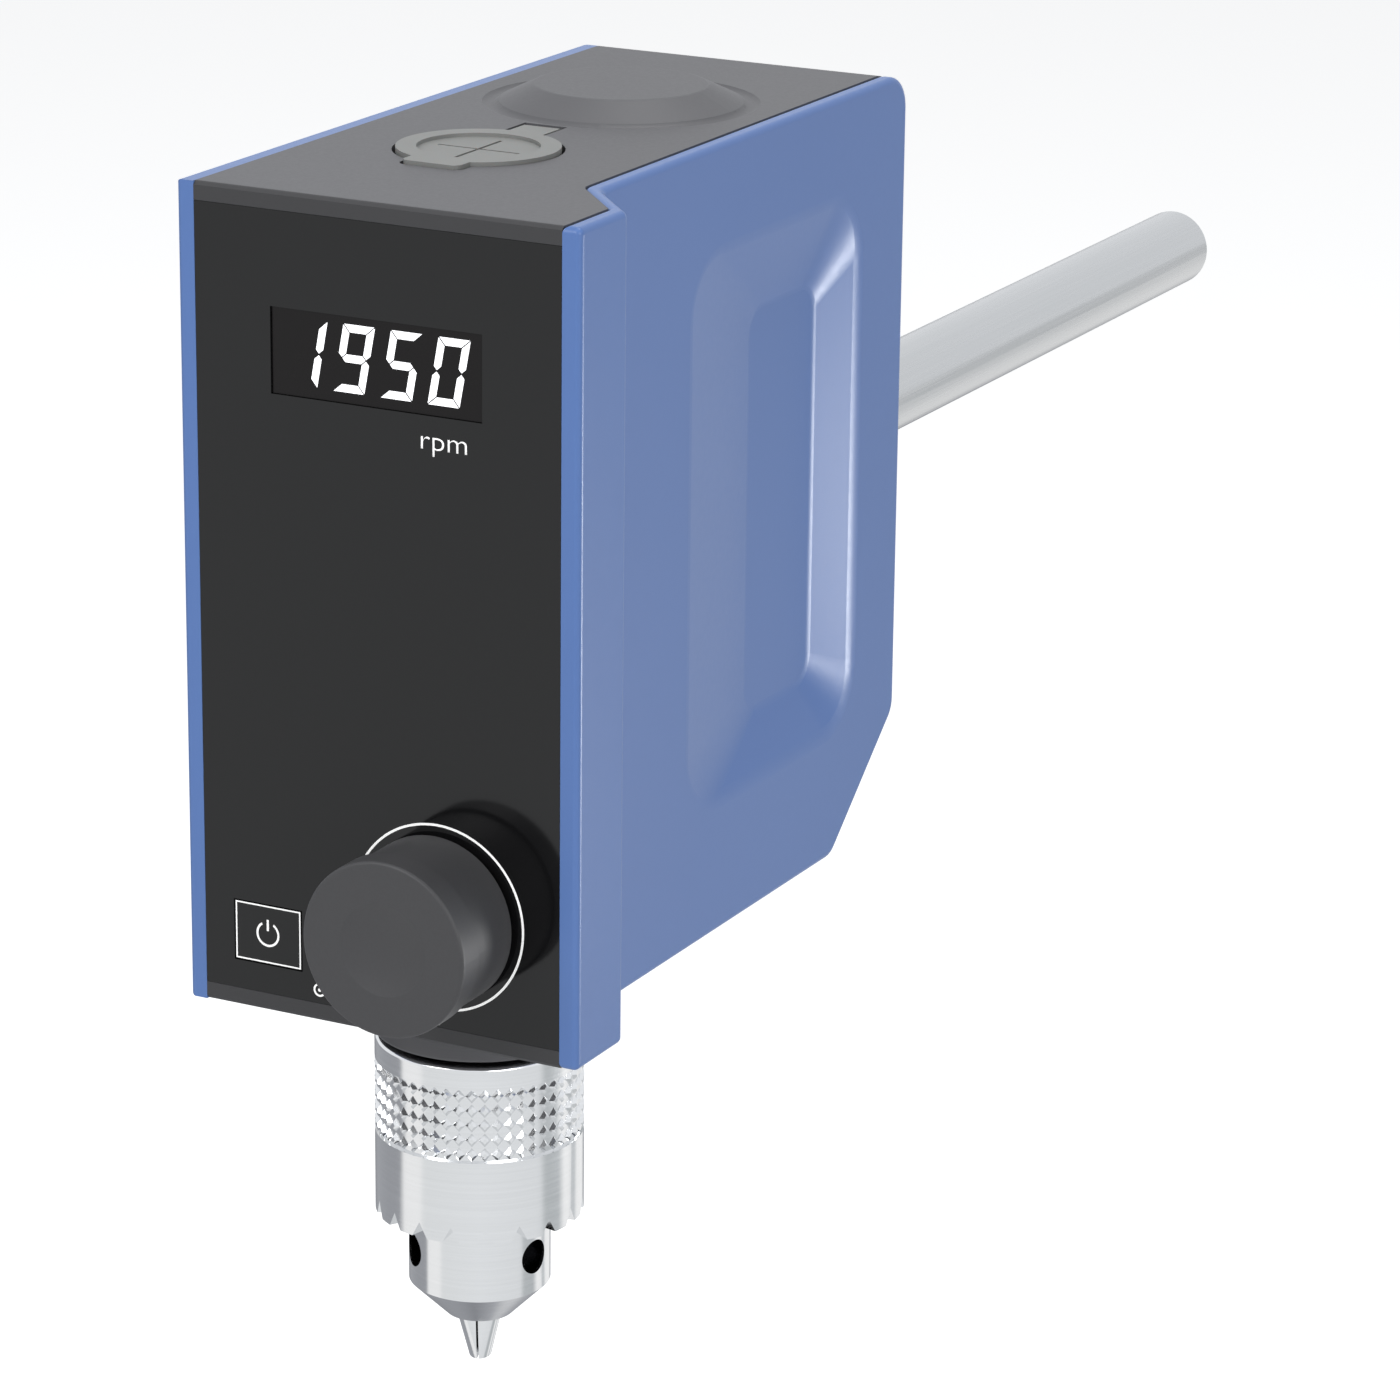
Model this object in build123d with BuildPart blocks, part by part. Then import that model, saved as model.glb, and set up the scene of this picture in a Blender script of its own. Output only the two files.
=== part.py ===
"""Overhead laboratory stirrer with a belt-driven hollow spindle and a key chuck.

Millimetres, +Z up. The origin is on the spindle axis, level with the underside of the
housing. The operating panel looks along -Y and the extension arm leaves along +Y.
"""
import os
from math import cos, hypot, radians, sin, tan

from build123d import *

# ---------------------------------------------------------------- housing
front_width = 60.0           # across the operating panel, outside to outside
housing_height = 113.2
body_depth = 115.0           # panel face to back
flange_reach = 8.9           # front flange beyond the right side behind it
spindle_from_left = 24.6     # spindle axis to the left side
spindle_from_front = 36.4    # spindle axis to the panel face
flange_depth = 12.2          # front flange on the right side
step_length = 9.8            # run of the slanted step behind the flange
flange_corner_r = 1.0
step_corner_r = 3.0
shell_wall = 2.7             # side shells
rim_r = 0.9                  # rounding around each side shell
core_front_edge = 0.5        # bevel on the core's strips above and below the panel
core_wall = 3.0              # top, bottom and back walls of the core
front_wall = 2.5             # core wall behind the panel
top_rear_r = 5.0
rear_chamfer_run = 20.4      # slope under the back, along Y
rear_chamfer_rise = 17.2     # slope under the back, along Z
chamfer_corner_r = 4.0
snug = 0.05                  # gap of a part laid in its seat

# grip recess in the right side shell
grip_front = 47.8            # panel face to the start of the recess
grip_from_back = 15.0        # back of the housing to the end of the recess
grip_bottom = 19.5
grip_from_top = 14.7
grip_depth = 3.4
grip_front_ramp = 24.0
grip_rear_ramp = 8.0
grip_low_ramp = 8.0
grip_high_ramp = 12.0
grip_corner_r = 9.0
grip_floor_r = 4.0
grip_rim_soft = 6.0             # rounding where the recess leaves the side face
grip_floor_soft = 3.0           # rounding round the floor of the recess

# domed relief over the motor
dome_slope_run = 5.4
dome_height = 2.6
dome_edge_r = 0.9
groove_r = 1.6
groove_out = 0.8                # foot of the dome to the middle of its groove
groove_depth = 0.4

# spindle boss under the housing
boss_r = 15.0
boss_height = 12.0
boss_edge_r = 0.6
boss_spigot_r = 13.4         # part of the boss that stands in the floor's hole

# ---------------------------------------------------------------- operating panel
panel_thickness = 2.0
panel_margin = 2.5           # core strip above and below the panel
window_width = 31.6
window_height = 11.7
window_from_top = 21.15      # top of the housing to the window's middle
window_x = 5.35              # display window's middle from the spindle axis
window_recess = 0.3
lens_thickness = 1.2
window_ledge = 0.8
digit_pin_pitch = 2.54
digit_pin_rows = 7.0
digit_pin_count = 8
digit_pin_r = 0.3
digit_pin_reach = 1.0
knob_x = 14.35
knob_z = 18.0
knob_base_r = 11.65
knob_cap_r = 12.1
knob_length = 14.5           # panel face to knob face
knob_cap_length = 4.2
knob_dish_r = 6.4
knob_dish_depth = 0.9
knob_edge_r = 0.5
knob_wall = 1.8
knob_hub_r = 5.0
knob_web_count = 4
knob_web_width = 1.2
knob_press_travel = 0.5
knob_panel_gap = 0.9
encoder_shaft_r = 3.0
encoder_hole_r = 3.6
encoder_size = 13.0
encoder_depth = 5.5
encoder_bush_r = 4.6
encoder_wall = 0.9
encoder_cavity_r = 5.4
push_plate_thickness = 1.0
running_gap = 0.1            # radial gap of the plain running fits
key_width = 10.3
key_height = 8.3
key_x = -12.0
key_z = 10.9
key_gap = 0.2
key_thickness = 1.2
key_travel = 0.3
key_stem_r = 1.4
key_stem_play = 0.35
switch_size = 4.4
switch_depth = 4.0           # board to the tip of the switch's button
switch_button = 0.8

# circuit board
board_thickness = 1.6
board_left_gap = 4.9         # left side shell to the board
board_right_gap = 9.4        # outside of the front flange to the board
board_from_top = 9.2
board_bottom = 6.0
board_setback = 13.4         # panel face to the board's front
board_hole_inset = 3.5
board_hole_low = 30.0        # height of the lower pair of board screws
board_screw_r = 1.25
board_screw_head_r = 2.4
board_screw_head = 1.6
standoff_r = 2.4

# ---------------------------------------------------------------- spindle and drive
shaft_r = 6.0                # hollow spindle, outside
shaft_bore_r = 4.2           # hollow spindle, inside
shaft_from_top = 6.7         # top of the housing to the spindle's end
shaft_edge = 0.5
shaft_low_end = -24.0
collar_r = 8.0
collar_height = 2.5
bearing_outer_r = 12.0
bearing_height = 6.0
bearing_ring_wall = 1.7
ball_r = 1.75
ball_play = 0.04
ball_count = 9
lower_bearing_z = -9.6       # underside of the lower bearing
upper_bearing_z = 27.0       # underside of the upper bearing
bearing_ledge = 2.0          # radial width of the ledge a bearing sits against
seal_play = 0.3
seal_groove = 1.2
seal_lip = 1.0
chassis_thickness = 5.0
chassis_hub_wall = 2.4
chassis_side_gap = 0.4
chassis_front_reach = 15.5   # spindle axis to the plate's front edge
chassis_from_back = 18.6     # back of the housing to the plate's rear edge
chassis_corner_r = 3.4
chassis_post_r = 3.4
chassis_side_inset = 3.6     # plate's edges to the middles of its posts
chassis_front_inset = 8.0
chassis_rear_inset = 4.5
chassis_screw_length = 10.0
chassis_screw_grip = 12.0
hub_ledge = 1.5
chassis_screw_r = 2.0
chassis_screw_head_r = 3.2
chassis_screw_head = 2.4
pulley_z = 9.0               # underside of both pulleys
belt_width = 6.0
belt_thickness = 1.3
belt_play = 0.3
pulley_flange = 1.0
pulley_flange_rise = 1.6
pulley_post_gap = 1.03       # rim of the large pulley to the nearest chassis post
pulley_ratio = 1.5           # turns of the motor for one of the spindle
motor_socket_gap = 5.25      # motor to the arm's socket
motor_behind_middle = 0.7    # motor's axis to the middle between bearing hub and socket
motor_off_middle = 1.7       # motor's axis to the middle between the side shells
motor_side_gap = 1.8         # motor to the inside of the grip recess
motor_top_gap = 8.2          # motor to the core's top wall
motor_shaft_r = 2.5
motor_pilot_share = 0.4      # of the motor's radius
motor_pilot_height = 2.0
motor_screw_share = 0.68     # of the motor's radius
motor_screw_r = 1.5
motor_screw_head_r = 2.75
motor_screw_head = 1.8
motor_screw_depth = 5.0
motor_groove_count = 16
motor_groove_width = 1.6
motor_groove_depth = 0.9
motor_end_band = 8.0
motor_edge_r = 2.0
motor_shaft_seat = 16.0
motor_shaft_reach = 0.8
pulley_hole_count = 6
pulley_hole_r = 2.2
ring_gap = 3.0
ring_thickness = 1.0
ring_wall = 1.6
bush_from_top = 13.2         # top of the housing to the bush's underside
bush_height = 5.0
bush_outer_r = 8.4
bush_play = 0.05
bush_tube_wall = 2.0
bush_edge = 0.4

# shaft cap on the top
cap_recess_r = 11.65
cap_play = 0.5
cap_height = 1.9
cap_recess_depth = 1.4
cap_ring_width = 2.8
cap_dish_depth = 0.5
cap_slit_length = 12.4
cap_slit_width = 0.5
cap_slit_depth = 0.5
cap_skirt_play = 0.6
cap_skirt_wall = 1.2
cap_skirt_depth = 2.5
cap_tab_width = 8.8
cap_tab_reach = 2.1
cap_tab_corner_r = 1.2
strap_width = 5.6
strap_end = 18.2             # spindle axis to the strap's far end

# ---------------------------------------------------------------- key chuck
sleeve_r = 14.8
sleeve_wall = 1.6
sleeve_top = -12.8
sleeve_bottom = -39.1
sleeve_edge_r = 0.6
knurl_top = -16.1
knurl_bottom = -27.0
knurl_depth = 0.5
sleeve_lip = 2.0             # toothed ring at the sleeve's lower end
sleeve_lip_inner_r = 10.4
tooth_count = 19
tooth_depth = 2.2
tooth_gap = 2.5              # width of a gap between teeth at the rim
tooth_slope = 14.0           # degrees, root line of the bevel teeth
chuck_running_gap = 0.08
nose_r = 10.1
nose_shoulder = -50.0
nose_end = -55.2
nose_end_r = 4.9
chuck_top = -13.4
jaw_angle = 15.0             # degrees between a jaw and the spindle axis
jaw_r = 2.3
jaw_tip = -62.5
jaw_tip_reach = 1.45         # outside of the closed jaws at their tip
jaw_top = -36.2
jaw_seam = 0.3               # gap between closed jaws
jaw_bore_play = 0.06
jaw_count = 3
jaw_turn = -10.0             # degrees, direction of the first jaw
nut_height = 2.8
nut_play = 0.3
nut_groove_play = 0.15
nut_groove_r = 7.4
chuck_bore_r = 4.4
jaw_bore_length = 46.0
key_hole_r = 2.5
key_hole_z = -44.6
key_hole_depth = 2.9

# ---------------------------------------------------------------- extension arm, inlet and screws
arm_r = 6.5
arm_z = 51.6                 # underside of the housing to the arm's axis
arm_exposed = 170.0          # back of the housing to the arm's end
arm_end_chamfer = 1.0
arm_seat_depth = 14.0
arm_spigot_r = 6.0           # turned-down end of the arm inside its socket
socket_r = 10.5
socket_flange_r = 14.0
socket_flange = 2.5
socket_floor = 3.0
grub_r = 2.0
grub_length = 3.6
grub_inset = 4.0             # arm's seat to the grub screw
inlet_x = 12.0
inlet_below_arm = 20.6
inlet_width = 9.0
inlet_height = 11.0
inlet_depth = 12.0
inlet_bore_r = 3.2
inlet_bore_depth = 9.0
inlet_pin_r = 1.0
inlet_pin_setback = 1.0
screw_r = 1.5
screw_head_r = 2.8
screw_head = 2.0
screw_length = 9.0
screw_post_r = 2.7
shell_post_front = 15.6      # spindle axis to the front pair of shell posts
shell_post_from_back = 8.1
shell_post_lift = 2.8        # middle of a post above or below the core's wall
screw_socket_r = 1.2
screw_socket_depth = 1.2

# ---------------------------------------------------------------- worked-out places
left_x = -spindle_from_left
flange_x = left_x + front_width
side_x = flange_x - flange_reach
front_y = -spindle_from_front
back_y = front_y + body_depth
flange_back_y = front_y + flange_depth
step_end_y = flange_back_y + step_length
core_left_x = left_x + shell_wall
core_front_y = front_y + panel_thickness
grip_rear = body_depth - grip_from_back
grip_top = housing_height - grip_from_top
window_middle = housing_height - window_from_top
shaft_top = housing_height - shaft_from_top
bush_z = housing_height - bush_from_top
inner_front_y = core_front_y + front_wall
inner_back_y = back_y - core_wall
inner_top = housing_height - core_wall
panel_bottom = panel_margin
panel_top = housing_height - panel_margin
recess_inner_x = side_x - shell_wall - grip_depth
motor_x = (core_left_x + recess_inner_x) / 2 + motor_off_middle
arm_seat_y = back_y - arm_seat_depth
socket_front_y = arm_seat_y - socket_floor
motor_y = (bearing_outer_r + chassis_hub_wall + socket_front_y) / 2 + motor_behind_middle
motor_r = min(recess_inner_x - motor_x - motor_side_gap, socket_front_y - motor_y - motor_socket_gap)
dome_base_r = motor_r
dome_top_r = dome_base_r - dome_slope_run
motor_pilot_r = motor_pilot_share * motor_r
motor_screw_circle_r = motor_screw_share * motor_r
board_front_y = front_y + board_setback
window_back_y = front_y + window_recess + lens_thickness
knob_face_y = front_y - knob_length
knob_back_y = front_y - knob_panel_gap
knob_dish_ball_r = (knob_dish_r**2 + knob_dish_depth**2) / (2 * knob_dish_depth)
push_plate_y = board_front_y - encoder_wall - knob_press_travel - push_plate_thickness - snug
switch_front_y = board_front_y - switch_depth
ball_circle_r = (shaft_r + bearing_outer_r) / 2
upper_bearing_top = upper_bearing_z + bearing_height
board_back_y = board_front_y + board_thickness
chassis_z = upper_bearing_z
belt_z = pulley_z + pulley_flange
pulley_top = belt_z + belt_width + 2 * snug + pulley_flange
motor_z = chassis_z + chassis_thickness
motor_length = inner_top - motor_top_gap - motor_z
chassis_front = -chassis_front_reach
chassis_rear = back_y - chassis_from_back
chassis_left = core_left_x + chassis_side_gap
chassis_right = recess_inner_x - chassis_side_gap
post_right_x = chassis_right - chassis_side_inset
post_front_y = chassis_front + chassis_front_inset
pulley_room = hypot(post_right_x, post_front_y) - chassis_post_r - pulley_post_gap
driven_pulley_r = pulley_room - pulley_flange_rise
motor_pulley_r = driven_pulley_r / pulley_ratio
inlet_z = arm_z - inlet_below_arm
cap_seat_z = housing_height - cap_recess_depth
cap_top = cap_seat_z + cap_height
hinge_r = cap_recess_depth / 2 - snug
hinge_y = strap_end - hinge_r
lower_bearing_top = lower_bearing_z + bearing_height
grub_z = arm_z - arm_spigot_r - grub_length
grip_floor_front = grip_front + grip_front_ramp
grip_floor_rear = grip_rear - grip_rear_ramp
grip_floor_middle = (grip_bottom + grip_low_ramp + grip_top - grip_high_ramp) / 2
grip_floor_height = grip_top - grip_high_ramp - grip_bottom - grip_low_ramp

os.makedirs("parts", exist_ok=True)


def save(piece, name):
    """Label one finished piece and write it to its own STEP file."""
    piece.part.label = name
    export_step(piece.part, f"parts/{name}.step")


def right_path(shift):
    """Corner points of the right side in plan, front to back, moved inwards by shift."""
    return [
        (flange_x - shift, front_y),
        (flange_x - shift, flange_back_y),
        (side_x - shift, step_end_y),
        (side_x - shift, back_y),
    ]


def polar(radius, degrees, z=0.0):
    """Point at a radius and direction about the spindle axis."""
    return (radius * cos(radians(degrees)), radius * sin(radians(degrees)), z)


def side_profile(x=0.0, inset=0.0):
    """Side view of the housing as a sketch at a distance along X, drawn inwards by inset."""
    with BuildSketch(Plane.YZ.offset(x)) as outline:
        with BuildLine():
            Polyline(
                (front_y, 0),
                (front_y, housing_height),
                (back_y, housing_height),
                (back_y, rear_chamfer_rise),
                (back_y - rear_chamfer_run, 0),
                close=True,
            )
        make_face()
        fillet(outline.vertices().group_by(Axis.X)[-1].sort_by(Axis.Y)[-1], top_rear_r)
        fillet(outline.vertices().group_by(Axis.Y)[1], chamfer_corner_r)
        fillet(outline.vertices().group_by(Axis.Y)[0].sort_by(Axis.X)[-1], chamfer_corner_r)
        if inset > 0:
            offset(amount=-inset)
            with Locations(((front_y + inner_front_y) / 2, housing_height / 2)):
                Rectangle(inner_front_y - front_y, housing_height, mode=Mode.SUBTRACT)
    return outline.sketch


def box_at(x, y, z, mode=Mode.ADD):
    """Box between two limits on each axis, in the open part."""
    with Locations(((x[0] + x[1]) / 2, (y[0] + y[1]) / 2, (z[0] + z[1]) / 2)):
        Box(x[1] - x[0], y[1] - y[0], z[1] - z[0], mode=mode)


def rod_along_x(radius, y, z, x_from, x_to, mode=Mode.ADD):
    """Cylinder along X between two limits, in the open part."""
    with BuildSketch(Plane.YZ.offset(x_from)) as section:
        with Locations((y, z)):
            Circle(radius)
    extrude(section.sketch, amount=x_to - x_from, mode=mode)


def rod_along_y(radius, x, z, y_from, y_to, mode=Mode.ADD):
    """Cylinder along Y between two limits, in the open part."""
    with BuildSketch(Plane.XZ.offset(-y_to)) as section:
        with Locations((x, z)):
            Circle(radius)
    extrude(section.sketch, amount=y_to - y_from, mode=mode)


def rod_along_z(radius, x, y, z_from, z_to, mode=Mode.ADD):
    """Cylinder along Z between two limits, in the open part."""
    with BuildSketch(Plane.XY.offset(z_from)) as section:
        with Locations((x, y)):
            Circle(radius)
    extrude(section.sketch, amount=z_to - z_from, mode=mode)


board_left = core_left_x + board_left_gap
board_right = flange_x - board_right_gap
board_top = housing_height - board_from_top
standoff_places = [
    (x, z)
    for x in (board_left + board_hole_inset, board_right - board_hole_inset)
    for z in (board_hole_low, board_top - board_hole_inset)
]
chassis_posts = [
    (x, y)
    for x in (chassis_left + chassis_side_inset, post_right_x)
    for y in (post_front_y, chassis_rear - chassis_rear_inset)
]
motor_screw_places = [
    (motor_x + motor_screw_circle_r * cos(radians(turn)), motor_y + motor_screw_circle_r * sin(radians(turn)))
    for turn in (45, 135, 225, 315)
]
# along Y, height, and end along X of each post of the right side shell
shell_posts = [
    (-shell_post_front, core_wall + shell_post_lift, side_x - snug),
    (-shell_post_front, inner_top - shell_post_lift, side_x - snug),
    (back_y - shell_post_from_back, rear_chamfer_rise + shell_post_lift, side_x - shell_wall),
    (back_y - shell_post_from_back, inner_top - shell_post_lift, side_x - shell_wall),
]

# ---------------------------------------------------------------- housing
# Grey moulded core: top, front frame, floor with the spindle boss, and back in one piece.
with BuildPart() as core_housing:
    with BuildSketch():
        with BuildLine():
            path = right_path(shell_wall)
            FilletPolyline(*path, radius=[flange_corner_r, step_corner_r])
            Polyline(path[-1], (core_left_x, back_y), (core_left_x, front_y), path[0])
        make_face()
    extrude(amount=housing_height)
    extrude(side_profile(), amount=front_width, both=True, mode=Mode.INTERSECT)
    extrude(side_profile(inset=core_wall), amount=front_width, both=True, mode=Mode.SUBTRACT)
    box_at((left_x, flange_x), (front_y, core_front_y), (panel_bottom, panel_top), Mode.SUBTRACT)
    front_edges = edges().filter_by(Axis.X).group_by(Axis.Y)[0].sort_by(Axis.Z)
    chamfer([front_edges[0], front_edges[-1]], core_front_edge)
    # domed relief over the motor, hollow below
    with BuildSketch(Plane.XY.offset(housing_height)):
        with Locations((motor_x, motor_y)):
            Circle(dome_base_r)
    with BuildSketch(Plane.XY.offset(housing_height + dome_height)):
        with Locations((motor_x, motor_y)):
            Circle(dome_top_r)
    loft()
    fillet(faces().sort_by(Axis.Z)[-1].edges(), dome_edge_r)
    # soft groove round the foot of the dome
    with BuildSketch(Plane.XZ.offset(-motor_y)):
        with Locations((motor_x + dome_base_r + groove_out, housing_height + groove_r - groove_depth)):
            Circle(groove_r)
    revolve(axis=Axis((motor_x, motor_y, 0), (0, 0, 1)), mode=Mode.SUBTRACT)
    with BuildSketch(Plane.XY.offset(inner_top)):
        with Locations((motor_x, motor_y)):
            Circle(dome_base_r - core_wall)
    with BuildSketch(Plane.XY.offset(inner_top + dome_height)):
        with Locations((motor_x, motor_y)):
            Circle(dome_top_r - core_wall)
    loft(mode=Mode.SUBTRACT)
    # hole of the spindle boss
    rod_along_z(boss_spigot_r + snug, 0, 0, 0, core_wall, Mode.SUBTRACT)
    # tube of the top bush, and the seat of the shaft cap
    rod_along_z(bush_outer_r + bush_tube_wall, 0, 0, bush_z, inner_top)
    rod_along_z(bush_outer_r, 0, 0, bush_z, housing_height, Mode.SUBTRACT)
    with BuildSketch(Plane.XY.offset(cap_seat_z)):
        Circle(cap_recess_r)
        with Locations((0, -cap_recess_r / 2)):
            RectangleRounded(
                cap_tab_width + 2 * cap_play,
                cap_recess_r + 2 * cap_tab_reach,
                cap_tab_corner_r + cap_play,
            )
        with Locations((0, (strap_end + cap_play) / 2)):
            Rectangle(strap_width + 2 * cap_play, strap_end + cap_play)
    extrude(amount=cap_recess_depth, mode=Mode.SUBTRACT)
    # openings of the front wall
    box_at(
        (window_x - window_width / 2, window_x + window_width / 2),
        (core_front_y, inner_front_y),
        (window_middle - window_height / 2, window_middle + window_height / 2),
        Mode.SUBTRACT,
    )
    rod_along_y(encoder_bush_r + snug, knob_x, knob_z, core_front_y, inner_front_y, Mode.SUBTRACT)
    rod_along_y(key_stem_r + key_stem_play, key_x, key_z, core_front_y, inner_front_y, Mode.SUBTRACT)
    # standoffs of the circuit board
    for x, z in standoff_places:
        rod_along_y(standoff_r, x, z, inner_front_y, board_front_y)
        rod_along_y(board_screw_r, x, z, inner_front_y, board_front_y, Mode.SUBTRACT)
    # posts of the drive chassis
    for x, y in chassis_posts:
        rod_along_z(chassis_post_r, x, y, core_wall, chassis_z)
        rod_along_z(chassis_screw_r, x, y, chassis_z - chassis_screw_length, chassis_z, Mode.SUBTRACT)
    # seats of the arm socket and of the power inlet in the back
    rod_along_y(socket_r + snug, 0, arm_z, inner_back_y, back_y, Mode.SUBTRACT)
    box_at(
        (inlet_x - inlet_width / 2 - snug, inlet_x + inlet_width / 2 + snug),
        (inner_back_y, back_y),
        (inlet_z - inlet_height / 2 - snug, inlet_z + inlet_height / 2 + snug),
        Mode.SUBTRACT,
    )
save(core_housing, "core_housing")

# Turned boss that holds the lower bearing, let into the core's floor.
with BuildPart() as spindle_boss:
    rod_along_z(boss_r, 0, 0, -boss_height, 0)
    fillet(edges().filter_by(GeomType.CIRCLE).group_by(Axis.Z)[0], boss_edge_r)
    rod_along_z(boss_spigot_r, 0, 0, 0, core_wall)
    rod_along_z(bearing_outer_r, 0, 0, -boss_height, lower_bearing_top, Mode.SUBTRACT)
    rod_along_z(bearing_outer_r - bearing_ledge, 0, 0, -boss_height, core_wall, Mode.SUBTRACT)
save(spindle_boss, "spindle_boss")

# Flat left side shell with the recessed holes of its four screws.
with BuildPart() as left_side_shell:
    extrude(side_profile(left_x), amount=shell_wall)
    fillet(faces().sort_by(Axis.X)[0].edges(), rim_r)
    for y, z, post_end in shell_posts:
        rod_along_x(screw_r + snug, y, z, left_x, core_left_x, Mode.SUBTRACT)
        rod_along_x(screw_head_r + snug, y, z, left_x, left_x + screw_head, Mode.SUBTRACT)
save(left_side_shell, "left_side_shell")

# Right side shell: front flange, slanted step, soft grip recess, and the posts of the screws.
with BuildPart() as right_side_shell:
    with BuildSketch():
        with BuildLine():
            outer = right_path(0)
            inner = right_path(shell_wall)
            FilletPolyline(*outer, radius=[flange_corner_r, step_corner_r])
            FilletPolyline(*inner, radius=[flange_corner_r, step_corner_r])
            Line(outer[0], inner[0])
            Line(outer[-1], inner[-1])
        make_face()
    extrude(amount=housing_height)
    extrude(side_profile(), amount=front_width, both=True, mode=Mode.INTERSECT)
    outer_edges = edges().filter_by(lambda e: e.center().X > side_x - shell_wall / 2)
    end_edges = outer_edges.filter_by(Axis.Z).sort_by(Axis.Y)
    fillet(outer_edges.filter_by(Axis.Z, reverse=True) + [end_edges[0], end_edges[-1]], rim_r)
    for shift, mode in ((shell_wall, Mode.ADD), (0, Mode.SUBTRACT)):
        with BuildSketch(Plane.YZ.offset(side_x - shift)):
            with Locations((front_y + (grip_front + grip_rear) / 2, (grip_bottom + grip_top) / 2)):
                RectangleRounded(grip_rear - grip_front, grip_top - grip_bottom, grip_corner_r)
        with BuildSketch(Plane.YZ.offset(side_x - shift - grip_depth)):
            with Locations((front_y + (grip_floor_front + grip_floor_rear) / 2, grip_floor_middle)):
                RectangleRounded(grip_floor_rear - grip_floor_front, grip_floor_height, grip_floor_r)
        loft(ruled=True, mode=mode)
    side_face = faces().filter_by_position(Axis.X, side_x - snug, side_x + snug).sort_by(SortBy.AREA)[-1]
    fillet(side_face.inner_wires()[0].edges(), grip_rim_soft)
    floor_x = side_x - grip_depth
    floor_face = faces().filter_by_position(Axis.X, floor_x - snug, floor_x + snug)[0]
    fillet(floor_face.edges(), grip_floor_soft)
    for y, z, post_end in shell_posts:
        rod_along_x(screw_post_r, y, z, core_left_x, post_end)
        rod_along_x(screw_r - snug, y, z, core_left_x, core_left_x + screw_length, Mode.SUBTRACT)
save(right_side_shell, "right_side_shell")

# Pan-head screws that clamp the two side shells on the core.
with BuildPart() as shell_screws:
    for y, z, post_end in shell_posts:
        rod_along_x(screw_head_r, y, z, left_x + rim_r, left_x + screw_head)
        rod_along_x(screw_r - snug, y, z, left_x + rim_r, core_left_x + screw_length - 2 * snug)
        with BuildSketch(Plane.YZ.offset(left_x + rim_r)):
            with Locations((y, z)):
                RegularPolygon(screw_socket_r, 6)
        extrude(amount=screw_socket_depth, mode=Mode.SUBTRACT)
save(shell_screws, "shell_screws")

# ---------------------------------------------------------------- operating panel
# Gloss black front panel, laid in the core's frame between the two shells.
with BuildPart() as front_panel:
    box_at(
        (core_left_x + snug, flange_x - shell_wall - snug),
        (front_y, core_front_y),
        (panel_bottom + snug, panel_top - snug),
    )
    with BuildSketch(Plane.XZ.offset(-front_y)):
        with Locations((window_x, window_middle)):
            Rectangle(window_width, window_height)
    extrude(amount=-(window_recess + lens_thickness), mode=Mode.SUBTRACT)
    with BuildSketch(Plane.XZ.offset(-front_y)):
        with Locations((window_x, window_middle)):
            Rectangle(window_width - 2 * window_ledge, window_height - 2 * window_ledge)
        with Locations((knob_x, knob_z)):
            Circle(encoder_hole_r)
        with Locations((key_x, key_z)):
            Circle(key_stem_r + key_stem_play)
    extrude(amount=-panel_thickness, mode=Mode.SUBTRACT)
    with BuildSketch(Plane.XZ.offset(-front_y)):
        with Locations((key_x, key_z)):
            Rectangle(key_width + 2 * key_gap, key_height + 2 * key_gap)
    extrude(amount=-(key_thickness + key_travel + key_gap), mode=Mode.SUBTRACT)
save(front_panel, "front_panel")

# Smoked window, set back a little in the panel.
with BuildPart() as display_window:
    box_at(
        (window_x - window_width / 2 + snug, window_x + window_width / 2 - snug),
        (front_y + window_recess, window_back_y),
        (window_middle - window_height / 2 + snug, window_middle + window_height / 2 - snug),
    )
save(display_window, "display_window")

# Four-digit display block with its pins through the board.
with BuildPart() as digit_display:
    half_width = window_width / 2 - window_ledge - snug
    half_height = window_height / 2 - window_ledge - snug
    box_at(
        (window_x - half_width, window_x + half_width),
        (window_back_y, board_front_y),
        (window_middle - half_height, window_middle + half_height),
    )
    with Locations(Location((window_x, board_front_y, window_middle), (90, 0, 0))):
        with GridLocations(digit_pin_pitch, digit_pin_rows, digit_pin_count, 2):
            Cylinder(
                digit_pin_r,
                board_thickness + digit_pin_reach,
                align=(Align.CENTER, Align.CENTER, Align.MAX),
            )
save(digit_display, "digit_display")

# Circuit board with its screw holes and the holes of the display pins.
with BuildPart() as circuit_board:
    box_at((board_left, board_right), (board_front_y, board_back_y), (board_bottom, board_top))
    for x, z in standoff_places:
        rod_along_y(board_screw_r + snug, x, z, board_front_y, board_back_y, Mode.SUBTRACT)
    with Locations(Location((window_x, board_front_y, window_middle), (90, 0, 0))):
        with GridLocations(digit_pin_pitch, digit_pin_rows, digit_pin_count, 2):
            Cylinder(
                digit_pin_r + snug,
                board_thickness,
                align=(Align.CENTER, Align.CENTER, Align.MAX),
                mode=Mode.SUBTRACT,
            )
save(circuit_board, "circuit_board")

# Screws that hold the board on its standoffs.
with BuildPart() as board_screws:
    for x, z in standoff_places:
        rod_along_y(board_screw_r - snug, x, z, inner_front_y + board_screw_r, board_back_y)
        rod_along_y(board_screw_head_r, x, z, board_back_y, board_back_y + board_screw_head)
save(board_screws, "board_screws")

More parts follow.
